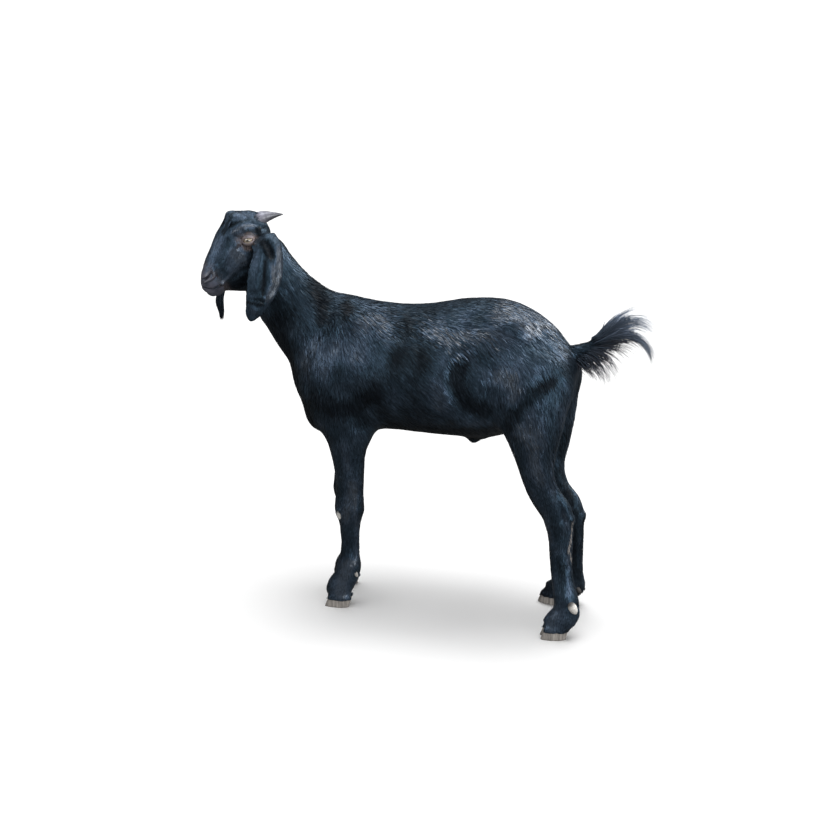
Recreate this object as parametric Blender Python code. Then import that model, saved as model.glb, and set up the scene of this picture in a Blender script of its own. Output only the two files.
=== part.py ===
"""A standing goat as a still, life-size model, built from named solids.

Metres, +Z up. The head points along -X and the goat's left side faces -Y. The origin lies on the
floor under the middle of the model. The body is lofted in one piece and parted by thin cuts.
"""
import math

import bmesh
import bpy
import numpy as np
from mathutils import Matrix, Vector

# ---------------------------------------------------------------- driving dimensions
GAP = 0.0003                      # clearance between pieces that touch
LEFT, RIGHT = -1.0, 1.0           # sign of Y on each side of the animal

BODY_VOXEL = 0.004                # grain of the blended body
HEAD_VOXEL = 0.0025               # grain of the blended head
BODY_TRIANGLES = 3600
HEAD_TRIANGLES = 1800
BODY_ROUNDS = 170                 # rounds of smoothing over the blended masses
HEAD_ROUNDS = 40

HEAD_ORIGIN = Vector((-0.400, -0.020, 0.775))   # between the ears, inside the skull
HEAD_TURN = math.radians(32.0)                  # towards the goat's left
HEAD_ROLL = 0.09                                # rise of the left side for each unit sideways
EYE_RADIUS = 0.0125

HOOF_LENGTH = 0.054
HOOF_HEIGHT = 0.025
HEEL_CLEARANCE = 0.004            # the soft heels end this far above the floor
CLAW_WIDTH = 0.0195
CLAW_SPREAD = 0.0108              # from the foot's middle to the middle of each claw

HEAD_FORWARD = Vector((-math.cos(HEAD_TURN), -math.sin(HEAD_TURN), 0.0))
HEAD_LEFT = Vector((math.sin(HEAD_TURN), -math.cos(HEAD_TURN), HEAD_ROLL)).normalized()
UP = Vector((0.0, 0.0, 1.0))
FORWARD = Vector((-1.0, 0.0, 0.0))


def head_point(forward, height, lateral=0.0):
    """A point given from the skull's middle: ahead of it, above it and to its left."""
    return HEAD_ORIGIN + HEAD_FORWARD * forward + UP * height + HEAD_LEFT * lateral


# ---------------------------------------------------------------- mesh helpers
def mesh_object(name, bm):
    """Turn a bmesh into an object of the scene."""
    mesh = bpy.data.meshes.new(name)
    bmesh.ops.recalc_face_normals(bm, faces=bm.faces)
    bm.to_mesh(mesh)
    bm.free()
    obj = bpy.data.objects.new(name, mesh)
    bpy.context.collection.objects.link(obj)
    return obj


def apply_modifiers(obj):
    """Replace the object's mesh by what its modifiers make of it."""
    graph = bpy.context.evaluated_depsgraph_get()
    mesh = bpy.data.meshes.new_from_object(obj.evaluated_get(graph))
    obj.modifiers.clear()
    obj.data = mesh
    return obj


def boolean(obj, cutter, operation):
    """Cut obj by cutter, or keep what both share. The cutter is used up."""
    modifier = obj.modifiers.new("cut", "BOOLEAN")
    modifier.operation = operation
    modifier.solver = "EXACT"
    modifier.object = cutter
    apply_modifiers(obj)
    bpy.data.objects.remove(cutter)
    return obj


def duplicate(obj, name):
    """An independent copy of an object."""
    copy = obj.copy()
    copy.data = obj.data.copy()
    copy.name = name
    bpy.context.collection.objects.link(copy)
    return copy


def inflated(obj, distance):
    """A copy of the object, grown by a distance along its normals."""
    copy = duplicate(obj, obj.name + "_grown")
    modifier = copy.modifiers.new("grow", "DISPLACE")
    modifier.strength = distance
    modifier.mid_level = 0.0
    return apply_modifiers(copy)


def clear_of(obj, others):
    """Cut away from obj what the other pieces fill, and a thin gap around them."""
    for other in others:
        boolean(obj, inflated(other, GAP), "DIFFERENCE")
    return obj


def smooth_rows(rows, steps):
    """Catmull-Rom stations between the given rows of numbers."""
    rows = np.array(rows, dtype=float)
    padded = np.vstack([2 * rows[0] - rows[1], rows, 2 * rows[-1] - rows[-2]])
    result = []
    for i in range(1, len(padded) - 2):
        p0, p1, p2, p3 = padded[i - 1:i + 3]
        for k in range(steps):
            t = k / steps
            result.append(0.5 * (2 * p1 + (p2 - p0) * t + (2 * p0 - 5 * p1 + 4 * p2 - p3) * t * t
                                 + (3 * p1 - p0 - 3 * p2 + p3) * t ** 3))
    result.append(rows[-1])
    return np.array(result)


def loft(name, rows, up, around=20, steps=3):
    """A closed tube through stations of (x, y, z, side, above, below, ridge).

    side is the half width, above and below the half heights towards and away from up, and ridge
    is the share by which the section narrows towards its top.
    """
    stations = smooth_rows(rows, steps)
    centres = stations[:, :3]
    tangents = np.gradient(centres, axis=0)
    bm = bmesh.new()
    rings = []
    for centre, tangent, (side, above, below, ridge) in zip(centres, tangents, stations[:, 3:]):
        along = Vector(tangent).normalized()
        lateral = up.cross(along).normalized()
        height = along.cross(lateral)
        ring = []
        for k in range(around):
            angle = 2 * math.pi * k / around
            rise = math.sin(angle)
            width = side * (1.0 - ridge * max(rise, 0.0) ** 1.5)
            reach = above if rise > 0 else below
            offset = lateral * (max(width, 0.0005) * math.cos(angle))
            offset += height * (max(reach, 0.0005) * rise)
            ring.append(bm.verts.new(Vector(centre) + offset))
        rings.append(ring)
    for first, second in zip(rings, rings[1:]):
        for k in range(around):
            n = (k + 1) % around
            bm.faces.new((first[k], first[n], second[n], second[k]))
    bm.faces.new(rings[0])
    bm.faces.new(rings[-1])
    return mesh_object(name, bm)


def ellipsoid(centre, radii, turn=(0.0, 0.0, 0.0), segments=20):
    """A mass of muscle or bone: its centre, half sizes and Euler turn in degrees."""
    bm = bmesh.new()
    bmesh.ops.create_uvsphere(bm, u_segments=segments, v_segments=segments // 2, radius=1.0)
    angles = [math.radians(a) for a in turn]
    rotation = Matrix.Rotation(angles[2], 4, "Z") @ Matrix.Rotation(angles[1], 4, "Y")
    rotation = rotation @ Matrix.Rotation(angles[0], 4, "X")
    scale = Matrix.Diagonal((radii[0], radii[1], radii[2], 1.0))
    bmesh.ops.transform(bm, matrix=Matrix.Translation(centre) @ rotation @ scale, verts=bm.verts)
    return mesh_object("mass", bm)


def prism(outline, low, high, name="prism"):
    """A block: an outline of (x, z) points, from y = low to y = high."""
    bm = bmesh.new()
    near = [bm.verts.new((x, low, z)) for x, z in outline]
    far = [bm.verts.new((x, high, z)) for x, z in outline]
    bm.faces.new(near)
    bm.faces.new(far)
    for k in range(len(outline)):
        n = (k + 1) % len(outline)
        bm.faces.new((near[k], near[n], far[n], far[k]))
    return mesh_object(name, bm)


def blended(pieces, voxel, rounds, triangles, softness, name):
    """Join overlapping masses under one smooth skin with about the given triangles.

    softness gives each place its share of the smoothing, from 0 to 1.
    """
    bm = bmesh.new()
    for piece in pieces:
        bm.from_mesh(piece.data)
    skin = mesh_object(name, bm)
    remesh = skin.modifiers.new("skin", "REMESH")
    remesh.mode = "VOXEL"
    remesh.voxel_size = voxel
    apply_modifiers(skin)
    group = skin.vertex_groups.new(name="soft")
    for vertex in skin.data.vertices:
        group.add([vertex.index], softness(vertex.co), "REPLACE")
    relax = skin.modifiers.new("relax", "SMOOTH")
    relax.factor = 0.5
    relax.iterations = rounds
    relax.vertex_group = "soft"
    split = skin.modifiers.new("split", "TRIANGULATE")
    split.quad_method = "SHORTEST_DIAGONAL"
    apply_modifiers(skin)
    thin = skin.modifiers.new("thin", "DECIMATE")
    thin.ratio = triangles / len(skin.data.polygons)
    return apply_modifiers(skin)


def half_space(point, normal, size=1.2):
    """A large block whose flat face passes through the point and looks along the normal."""
    bm = bmesh.new()
    bmesh.ops.create_cube(bm, size=1.0)
    turn = Vector(normal).normalized().to_track_quat("Z", "Y").to_matrix().to_4x4()
    shift = Matrix.Translation((0.0, 0.0, -0.5))
    place = Matrix.Translation(point) @ turn @ Matrix.Scale(size, 4) @ shift
    bmesh.ops.transform(bm, matrix=place, verts=bm.verts)
    return mesh_object("half_space", bm)


# ---------------------------------------------------------------- the masses of the body
def trunk_masses():
    """The barrel from brisket to buttock, with the shoulder, hip and thigh masses on it."""
    # x, y, z, half width, above, below, ridge
    barrel = loft("barrel", [
        (-0.351, 0.0, 0.482, 0.026, 0.028, 0.032, 0.10),    # brisket
        (-0.334, 0.0, 0.490, 0.056, 0.066, 0.080, 0.20),
        (-0.298, 0.0, 0.506, 0.080, 0.150, 0.120, 0.35),    # point of the shoulder
        (-0.250, 0.0, 0.522, 0.094, 0.173, 0.131, 0.38),    # withers
        (-0.190, 0.0, 0.525, 0.098, 0.160, 0.126, 0.36),    # girth
        (-0.120, 0.0, 0.525, 0.108, 0.155, 0.122, 0.35),
        (-0.050, 0.0, 0.525, 0.114, 0.160, 0.124, 0.30),    # barrel
        (0.020, 0.0, 0.528, 0.112, 0.172, 0.127, 0.30),
        (0.080, 0.0, 0.535, 0.098, 0.172, 0.129, 0.30),     # loin and flank
        (0.130, 0.0, 0.545, 0.088, 0.164, 0.118, 0.35),     # hips
        (0.180, 0.0, 0.550, 0.078, 0.127, 0.100, 0.38),     # croup
        (0.220, 0.0, 0.545, 0.064, 0.071, 0.080, 0.30),
        (0.250, 0.0, 0.535, 0.040, 0.040, 0.050, 0.20),     # buttock
    ], UP, around=28)
    masses = [barrel]
    masses.append(loft("sheath", [
        (0.095, 0.0, 0.420, 0.020, 0.020, 0.012, 0.0),
        (0.062, 0.0, 0.404, 0.015, 0.018, 0.014, 0.0),
        (0.038, 0.0, 0.396, 0.011, 0.014, 0.018, 0.0),
        (0.022, 0.0, 0.392, 0.008, 0.009, 0.012, 0.0),
    ], UP, around=12))
    for side in (LEFT, RIGHT):
        masses.append(ellipsoid((-0.250, side * 0.048, 0.570), (0.064, 0.032, 0.108), (0, 28, 0)))
        masses.append(ellipsoid((-0.286, side * 0.052, 0.485), (0.042, 0.036, 0.065), (0, -20, 0)))
        masses.append(ellipsoid((-0.284, side * 0.042, 0.445), (0.040, 0.034, 0.054), (0, 10, 0)))
        masses.append(ellipsoid((-0.215, side * 0.060, 0.475), (0.068, 0.033, 0.074), (0, 35, 0)))
        masses.append(ellipsoid((0.118, side * 0.043, 0.634), (0.064, 0.027, 0.048), (0, 12, 0)))
        masses.append(ellipsoid((0.174, side * 0.056, 0.533), (0.088, 0.034, 0.088), (0, -20, 0)))
        masses.append(ellipsoid((0.226, side * 0.038, 0.545), (0.034, 0.030, 0.055)))
    return masses


def neck_masses():
    """The neck from inside the trunk to inside the skull, and the throat under the jaw."""
    neck = loft("neck_mass", [
        (-0.200, 0.0, 0.550, 0.074, 0.120, 0.080, 0.35),
        (-0.258, 0.0, 0.575, 0.076, 0.124, 0.087, 0.35),
        (-0.306, -0.001, 0.607, 0.066, 0.104, 0.094, 0.35),
        (-0.348, -0.004, 0.653, 0.052, 0.082, 0.084, 0.30),
        (-0.381, -0.010, 0.700, 0.044, 0.066, 0.072, 0.25),
        (-0.404, -0.018, 0.750, 0.040, 0.056, 0.064, 0.20),
        (-0.413, -0.022, 0.800, 0.034, 0.039, 0.050, 0.10),
    ], UP, around=22)
    throat = loft("throat", [
        tuple(head_point(0.106, -0.060)) + (0.010, 0.014, 0.020, 0.0),
        tuple(head_point(0.080, -0.052)) + (0.017, 0.020, 0.030, 0.0),
        tuple(head_point(0.052, -0.046)) + (0.025, 0.026, 0.038, 0.0),
        tuple(head_point(0.020, -0.034)) + (0.032, 0.030, 0.048, 0.0),
    ], UP, around=16)
    return [neck, throat]


def head_station(forward, height, side, above, below, ridge):
    """One section of the head, placed in its own upright plane."""
    return tuple(head_point(forward, height)) + (side, above, below, ridge)


def head_masses():
    """Skull, face, jaw, orbits and lips."""
    skull = loft("skull", [
        head_station(0.006, 0.062, 0.022, 0.016, 0.022, 0.10),
        head_station(0.024, 0.052, 0.034, 0.037, 0.040, 0.15),    # crown
        head_station(0.046, 0.037, 0.0395, 0.053, 0.048, 0.20),
        head_station(0.064, 0.017, 0.0375, 0.056, 0.046, 0.25),   # forehead and cheeks
        head_station(0.082, -0.006, 0.032, 0.050, 0.041, 0.25),
        head_station(0.100, -0.027, 0.0265, 0.043, 0.035, 0.20),  # bridge of the nose
        head_station(0.113, -0.044, 0.0235, 0.036, 0.031, 0.15),
        head_station(0.121, -0.058, 0.0235, 0.031, 0.029, 0.10),  # nostrils
        head_station(0.127, -0.070, 0.021, 0.024, 0.024, 0.10),
        head_station(0.130, -0.080, 0.014, 0.014, 0.015, 0.05),   # lips
    ], (HEAD_FORWARD * 0.80 + UP * 0.60).normalized(), around=24)
    masses = [skull]
    turn = math.degrees(HEAD_TURN)
    masses.append(ellipsoid(head_point(0.062, 0.064), (0.034, 0.030, 0.026), (0, 30, turn)))
    masses.append(ellipsoid(head_point(0.116, -0.076), (0.018, 0.015, 0.014), (0, 0, turn)))
    for side in (1.0, -1.0):
        masses.append(ellipsoid(head_point(0.050, 0.040, side * 0.029), (0.022, 0.014, 0.020),
                                (0, 30, turn)))
        masses.append(ellipsoid(head_point(0.044, -0.004, side * 0.020), (0.026, 0.015, 0.040),
                                (0, -30, turn)))
        masses.append(ellipsoid(head_point(0.131, -0.052, side * 0.010), (0.015, 0.0125, 0.016),
                                (0, 0, turn)))
    return masses


# Joint by joint down each leg: x, y, z, half width, towards the front, towards the back
FORE_STATIONS = [
    (-0.262, 0.064, 0.560, 0.028, 0.045, 0.050),
    (-0.254, 0.068, 0.480, 0.032, 0.056, 0.062),
    (-0.228, 0.064, 0.412, 0.031, 0.050, 0.080),      # elbow
    (-0.220, 0.060, 0.360, 0.028, 0.042, 0.043),      # forearm
    (-0.218, 0.057, 0.300, 0.0245, 0.032, 0.033),
    (-0.219, 0.056, 0.262, 0.0235, 0.032, 0.032),
    (-0.220, 0.056, 0.228, 0.0245, 0.035, 0.035),     # knee
    (-0.219, 0.056, 0.196, 0.0190, 0.026, 0.025),
    (-0.2185, 0.056, 0.155, 0.0165, 0.0225, 0.021),   # cannon
    (-0.220, 0.056, 0.122, 0.0175, 0.0245, 0.023),
    (-0.222, 0.056, 0.098, 0.0210, 0.029, 0.029),     # fetlock
    (-0.230, 0.056, 0.068, 0.0200, 0.028, 0.028),     # pastern
    (-0.245, 0.056, 0.044, 0.0210, 0.030, 0.030),
    (-0.251, 0.056, 0.021, 0.0210, 0.029, 0.029),     # coronet
]
HIND_STATIONS = [
    (0.152, 0.050, 0.600, 0.036, 0.060, 0.058),
    (0.168, 0.064, 0.520, 0.042, 0.080, 0.080),       # thigh
    (0.176, 0.072, 0.455, 0.038, 0.066, 0.072),       # stifle
    (0.183, 0.073, 0.400, 0.031, 0.048, 0.052),
    (0.192, 0.070, 0.352, 0.026, 0.038, 0.036),       # gaskin
    (0.208, 0.064, 0.310, 0.0225, 0.037, 0.032),
    (0.229, 0.058, 0.272, 0.0215, 0.034, 0.038),      # hock
    (0.238, 0.056, 0.246, 0.0210, 0.033, 0.032),
    (0.244, 0.058, 0.214, 0.0175, 0.0305, 0.0245),
    (0.248, 0.064, 0.160, 0.0160, 0.0285, 0.0215),    # cannon
    (0.254, 0.072, 0.118, 0.0175, 0.0270, 0.0225),
    (0.259, 0.080, 0.090, 0.0205, 0.0260, 0.0290),    # fetlock
    (0.258, 0.083, 0.062, 0.0200, 0.0230, 0.0370),    # pastern
    (0.247, 0.086, 0.042, 0.0210, 0.0270, 0.0370),
    (0.236, 0.087, 0.021, 0.0210, 0.0290, 0.0310),    # coronet
]

# Where each leg stands. shift moves the stations: height, then along X and along Z.
LEGS = {
    "foreleg_left": dict(side=LEFT, stations=FORE_STATIONS, shift=[(0.0, 0.0, 0.0)]),
    "foreleg_right": dict(side=RIGHT, stations=FORE_STATIONS, shift=[
        (0.026, -0.020, 0.0), (0.098, -0.031, 0.0), (0.160, -0.035, 0.0), (0.230, -0.041, 0.0),
        (0.400, -0.042, 0.0), (0.560, 0.0, 0.0)]),
    "hindleg_left": dict(side=LEFT, stations=HIND_STATIONS, shift=[(0.0, 0.0, 0.0)]),
    "hindleg_right": dict(side=RIGHT, stations=HIND_STATIONS, shift=[
        (0.026, -0.037, 0.0), (0.062, -0.019, -0.020), (0.090, -0.008, -0.042),
        (0.160, 0.003, -0.034), (0.246, 0.005, -0.033), (0.330, -0.007, -0.026),
        (0.400, 0.004, -0.010), (0.520, 0.0, 0.0)]),
}


def leg_place(leg, station):
    """Where one station of the leg's column comes to stand."""
    x, y, z = station[:3]
    heights = [entry[0] for entry in leg["shift"]]
    dx = float(np.interp(z, heights, [entry[1] for entry in leg["shift"]]))
    dz = float(np.interp(z, heights, [entry[2] for entry in leg["shift"]]))
    return (x + dx, leg["side"] * y, z + dz)


def leg_mass(leg):
    """One leg from inside the trunk down to its hoofs."""
    rows = [leg_place(leg, station) + station[3:] + (0.0,) for station in leg["stations"]]
    return loft("leg", rows, FORWARD, around=18)


# ---------------------------------------------------------------- eyes, horns, ears, beard, tail
def eye(side):
    """One eyeball in its socket."""
    return ellipsoid(head_point(0.050, 0.0295, side * 0.0315), (EYE_RADIUS,) * 3, segments=14)


def horn(side):
    """A short horn, laid straight back from the crown."""
    rows = []
    for forward, height, lateral, thick in [
            (0.036, 0.061, 0.016, 0.0125), (0.016, 0.067, 0.018, 0.0118),
            (0.002, 0.071, 0.0195, 0.0085), (-0.012, 0.0745, 0.0205, 0.0050),
            (-0.026, 0.0765, 0.0210, 0.0012)]:
        rows.append(tuple(head_point(forward, height, side * lateral))
                    + (thick * 0.85, thick, thick, 0.0))
    return loft("horn", rows, UP, around=12, steps=1)


def ear(side, swing):
    """A long hanging ear: a thin folded leaf. swing moves its tip back."""
    # height below the root, forward, half width, lateral, half thickness, fold
    rows = [
        (0.000, 0.008, 0.012, 0.040, 0.0075, 0.000),
        (-0.018, 0.010, 0.024, 0.052, 0.0065, 0.006),
        (-0.042, 0.014, 0.031, 0.060, 0.0045, 0.007),
        (-0.075, 0.0205, 0.0365, 0.065, 0.0040, 0.006),
        (-0.110, 0.0280, 0.0350, 0.068, 0.0040, 0.005),
        (-0.140, 0.0380, 0.0270, 0.069, 0.0035, 0.004),
        (-0.162, 0.0475, 0.0185, 0.068, 0.0025, 0.001),
        (-0.176, 0.0545, 0.0045, 0.067, 0.0015, 0.000),
    ]
    around = 12
    bm = bmesh.new()
    rings = []
    for drop, forward, half, lateral, thick, fold in smooth_rows(rows, 2):
        back = swing * (-drop / 0.176)
        ring = []
        for k in range(around):
            angle = 2 * math.pi * k / around
            across = math.cos(angle)
            bow = fold * (1.0 - 2.0 * across * across)
            out = lateral + bow + thick * math.sin(angle)
            place = head_point(forward - back + half * across, 0.043 + drop, side * out)
            ring.append(bm.verts.new(place))
        rings.append(ring)
    for first, second in zip(rings, rings[1:]):
        for k in range(around):
            n = (k + 1) % around
            bm.faces.new((first[k], first[n], second[n], second[k]))
    bm.faces.new(rings[0])
    bm.faces.new(rings[-1])
    return mesh_object("ear", bm)


def beard():
    """The narrow tuft under the chin."""
    rows = [
        tuple(head_point(0.101, -0.074)) + (0.0065, 0.010, 0.010, 0.0),
        tuple(head_point(0.103, -0.090)) + (0.0065, 0.0105, 0.0095, 0.0),
        tuple(head_point(0.106, -0.103)) + (0.0055, 0.0125, 0.0095, 0.0),
        tuple(head_point(0.106, -0.120)) + (0.0040, 0.0065, 0.0060, 0.0),
        tuple(head_point(0.107, -0.138)) + (0.0015, 0.0030, 0.0030, 0.0),
    ]
    return loft("beard", rows, HEAD_FORWARD, around=10, steps=1)


def tail():
    """The raised tail: a short dock with a fan of long hair, thin from side to side."""
    # upper edge x, z; lower edge x, z; half thickness
    rows = smooth_rows([
        (0.236, 0.612, 0.240, 0.560, 0.016),
        (0.262, 0.622, 0.270, 0.552, 0.019),
        (0.283, 0.636, 0.292, 0.545, 0.019),
        (0.302, 0.657, 0.316, 0.543, 0.017),
        (0.323, 0.679, 0.340, 0.572, 0.015),
        (0.345, 0.690, 0.366, 0.608, 0.012),
        (0.370, 0.682, 0.386, 0.614, 0.009),
        (0.394, 0.652, 0.401, 0.600, 0.005),
        (0.409, 0.616, 0.407, 0.590, 0.002),
    ], 1)
    around = 14
    bm = bmesh.new()
    rings = []
    for x_top, z_top, x_low, z_low, half in rows:
        top, low = Vector((x_top, 0.0, z_top)), Vector((x_low, 0.0, z_low))
        middle, reach = (top + low) / 2, (top - low) / 2
        ring = []
        for k in range(around):
            angle = 2 * math.pi * k / around
            side = Vector((0.0, half * math.cos(angle), 0.0))
            ring.append(bm.verts.new(middle + reach * math.sin(angle) + side))
        rings.append(ring)
    for first, second in zip(rings, rings[1:]):
        for k in range(around):
            n = (k + 1) % around
            bm.faces.new((first[k], first[n], second[n], second[k]))
    bm.faces.new(rings[0])
    bm.faces.new(rings[-1])
    return mesh_object("tail", bm)


# ---------------------------------------------------------------- hoofs
def foot_frame(leg, toe_out):
    """The foot's middle on the floor, its heading and its outward side."""
    x, y, _ = leg_place(leg, leg["stations"][-1])
    heading = Vector((-math.cos(toe_out), leg["side"] * math.sin(toe_out), 0.0))
    outward = Vector((0.0, leg["side"], 0.0)) - heading * heading.y * leg["side"]
    return Vector((x, y, 0.0)), heading, outward.normalized()


def claw(middle, heading, outward, which):
    """One claw of a hoof: flat sole, flat inner side, sloping toe. which is 1 outer, -1 inner."""
    centre = middle + outward * (which * CLAW_SPREAD)
    half_length, half_width = HOOF_LENGTH / 2, CLAW_WIDTH / 2
    levels = [(0.0, 1.0, 0.0), (1.0, 0.90, 0.30), (1.35, 0.62, 0.38)]
    around = 14
    bm = bmesh.new()
    rings = []
    for share, size, lean in levels:
        ring = []
        for k in range(around):
            angle = 2 * math.pi * k / around
            along = math.cos(angle) * half_length * size - lean * HOOF_HEIGHT
            width = abs(math.sin(angle)) ** 0.8 * (1.0 - 0.28 * max(math.cos(angle), 0.0))
            across = math.copysign(width, math.sin(angle)) * half_width * size
            if across < 0.0:
                across *= 0.92
            slope = 1.0 - 0.22 * (1.0 - math.cos(angle)) / 2 * min(share, 1.0)
            place = centre + heading * along + outward * (which * across)
            ring.append(bm.verts.new((place.x, place.y, share * HOOF_HEIGHT * slope)))
        rings.append(ring)
    for first, second in zip(rings, rings[1:]):
        for k in range(around):
            n = (k + 1) % around
            bm.faces.new((first[k], first[n], second[n], second[k]))
    bm.faces.new(rings[0])
    bm.faces.new(rings[-1])
    return mesh_object("claw", bm)


def dewclaw(leg, heading, outward, which):
    """One small claw at the back, between fetlock and pastern. which is 1 outer, -1 inner."""
    fetlock, pastern = leg["stations"][-4:-2]
    station = [(a + b) / 2 for a, b in zip(fetlock, pastern)]
    middle = Vector(leg_place(leg, station))
    root = middle - heading * (station[5] - 0.008) + outward * (which * 0.0100)
    tip = root - heading * 0.009 - UP * 0.012 + outward * (which * 0.0010)
    rows = []
    for share, thick in ((-0.5, 0.0060), (0.2, 0.0068), (0.75, 0.0060), (1.0, 0.0032)):
        rows.append(tuple(root.lerp(tip, share)) + (thick, thick * 0.9, thick * 0.9, 0.0))
    return loft("dewclaw", rows, heading, around=8, steps=1)


# ---------------------------------------------------------------- parting the body
# A cut's middle and its normal, which looks away from the head
HEAD_CUT = (Vector((-0.415, -0.032, 0.757)), Vector((0.766, 0.479, -0.429)).normalized())
NECK_CUT = (Vector((-0.307, 0.0, 0.600)), Vector((0.912, 0.0, -0.410)).normalized())
# Outlines in x and z of what belongs to a leg, and how far its inner side is from the middle
FORE_WEDGE = [(-0.420, 0.485), (-0.168, 0.408), (-0.168, -0.050), (-0.420, -0.050)]
FORE_INNER = 0.026
HIND_WEDGE = [(0.105, 0.395), (0.135, 0.470), (0.205, 0.560), (0.400, 0.560), (0.400, -0.050),
              (0.105, -0.050)]
REACH = 0.30                      # half width of every cutter, wider than the animal


def grown_outline(outline, distance):
    """The outline pushed out from its middle, so that every side moves at least the distance."""
    centre = sum((Vector(corner) for corner in outline), Vector((0.0, 0.0))) / len(outline)
    result = []
    for corner in outline:
        away = (Vector(corner) - centre).normalized() * distance * 2.0
        result.append((corner[0] + away.x, corner[1] + away.y))
    return result


def behind(cut, gap):
    """The block of space behind a cut, starting a gap behind it."""
    point, normal = cut
    return half_space(point + normal * gap, -normal)


def ahead(cut, gap):
    """The block of space ahead of a cut, ending a gap ahead of it."""
    point, normal = cut
    return half_space(point - normal * gap, normal)


def cut_head(head):
    """Keep of the fine head only what lies ahead of the throat cut."""
    return boolean(head, behind(HEAD_CUT, -GAP / 2), "DIFFERENCE")


def part_body(body):
    """Cut the body into neck, trunk and legs. Returns them by name."""
    nodes = {"neck": duplicate(body, "neck"), "trunk": duplicate(body, "trunk")}
    boolean(nodes["neck"], behind(NECK_CUT, -GAP / 2), "DIFFERENCE")
    boolean(nodes["neck"], ahead(HEAD_CUT, -GAP / 2), "DIFFERENCE")
    boolean(nodes["trunk"], ahead(NECK_CUT, -GAP / 2), "DIFFERENCE")
    for name, leg in LEGS.items():
        fore = name.startswith("fore")
        outline = FORE_WEDGE if fore else HIND_WEDGE
        inner = FORE_INNER if fore else 0.0
        low, high = sorted((leg["side"] * (inner + GAP / 2), leg["side"] * REACH))
        nodes[name] = boolean(duplicate(body, name), prism(outline, low, high), "INTERSECT")
        low, high = sorted((leg["side"] * (inner - GAP / 2), leg["side"] * REACH))
        space = prism(grown_outline(outline, GAP), low, high)
        boolean(nodes["trunk"], space, "DIFFERENCE")
    bpy.data.objects.remove(body)
    return nodes


# ---------------------------------------------------------------- materials
COAT = (0.012, 0.016, 0.023)
FINISHES = {                      # node name begins with: colour, roughness
    "claw": ((0.300, 0.255, 0.200), 0.55),
    "dewclaw": ((0.330, 0.290, 0.240), 0.60),
    "eye": ((0.420, 0.260, 0.090), 0.08),
    "horn": ((0.085, 0.085, 0.090), 0.45),
    "ear": (COAT, 0.50),
    "tail": ((0.014, 0.016, 0.022), 0.45),
    "beard": ((0.010, 0.012, 0.016), 0.50),
}


def finish(obj, name):
    """Name the solid, give it its own material and shade it smooth."""
    obj.name = name
    obj.data.name = name
    colour, roughness = FINISHES.get(name.split("_")[0], (COAT, 0.38))
    material = bpy.data.materials.new(name)
    material.use_nodes = True
    shader = material.node_tree.nodes["Principled BSDF"]
    shader.inputs["Base Color"].default_value = colour + (1.0,)
    shader.inputs["Roughness"].default_value = roughness
    shader.inputs["Metallic"].default_value = 0.0
    obj.data.materials.clear()
    obj.data.materials.append(material)
    obj.data.shade_smooth()
    obj.data.set_sharp_from_angle(angle=math.radians(40.0))


# ---------------------------------------------------------------- the whole animal
def softness(place):
    """The trunk is smoothed fully, the legs and the head hardly."""
    low = min(max((place.z - 0.30) / 0.12, 0.0), 1.0)
    ahead_of_neck = min(max((place.x + 0.42) / 0.08, 0.0), 1.0)
    share = low * (ahead_of_neck if place.z > 0.62 else 1.0)
    return 0.12 + 0.88 * share * share * (3.0 - 2.0 * share)


def head_softness(place):
    """The head is smoothed lightly and evenly, its neck end as much as the body's neck."""
    return max(0.25, softness(place))


def centre_on_origin(solids):
    """Move every solid so that the middle of the model's box stands over the origin."""
    corners = np.array([vertex.co for solid in solids for vertex in solid.data.vertices])
    middle = (corners.min(axis=0) + corners.max(axis=0)) / 2
    shift = Matrix.Translation((-middle[0], -middle[1], 0.0))
    for solid in solids:
        solid.data.transform(shift)


def main():
    for obj in list(bpy.data.objects):
        bpy.data.objects.remove(obj)

    neck, face = neck_masses(), head_masses()
    legs = [leg_mass(leg) for leg in LEGS.values()]
    masses = trunk_masses() + neck + face + legs
    body = blended(masses, BODY_VOXEL, BODY_ROUNDS, BODY_TRIANGLES, softness, "body")
    head = blended(neck + face, HEAD_VOXEL, HEAD_ROUNDS, HEAD_TRIANGLES, head_softness, "head")
    for mass in masses:
        bpy.data.objects.remove(mass)
    boolean(body, half_space((0.0, 0.0, HEEL_CLEARANCE), UP), "DIFFERENCE")

    solids = {}
    for leg_name, leg in LEGS.items():
        toe_out = math.radians(8.0 if leg_name.startswith("fore") else 14.0)
        middle, heading, outward = foot_frame(leg, toe_out)
        place = leg_name.replace("leg", "")
        for which, side_name in ((1, "outer"), (-1, "inner")):
            toe = claw(middle, heading, outward, which)
            spur = dewclaw(leg, heading, outward, which)
            clear_of(body, [toe, spur])
            solids["claw_" + place + "_" + side_name] = toe
            solids["dewclaw_" + place + "_" + side_name] = spur
    for side, side_name in ((1.0, "left"), (-1.0, "right")):
        ball = eye(side)
        clear_of(head, [ball])
        solids["eye_" + side_name] = ball
    for side, side_name in ((1.0, "left"), (-1.0, "right")):
        solids["horn_" + side_name] = clear_of(horn(side), [head])
        solids["ear_" + side_name] = clear_of(ear(side, 0.0 if side > 0 else 0.030), [head, body])
    solids["beard"] = clear_of(beard(), [head])
    solids["tail"] = clear_of(tail(), [body])
    solids["head"] = cut_head(head)
    solids.update(part_body(body))
    centre_on_origin(solids.values())
    for name, solid in solids.items():
        finish(solid, name)


main()
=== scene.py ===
"""Looks of the standing goat: skin, coat, long hair, eyes, horns, hoofs, floor, light and camera.

Metres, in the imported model's own frame: head towards -X, the goat's left side towards -Y, +Z up.
"""
import math

import bmesh
import bpy
import numpy as np
from mathutils import Matrix, Vector
from mathutils.bvhtree import BVHTree


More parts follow.
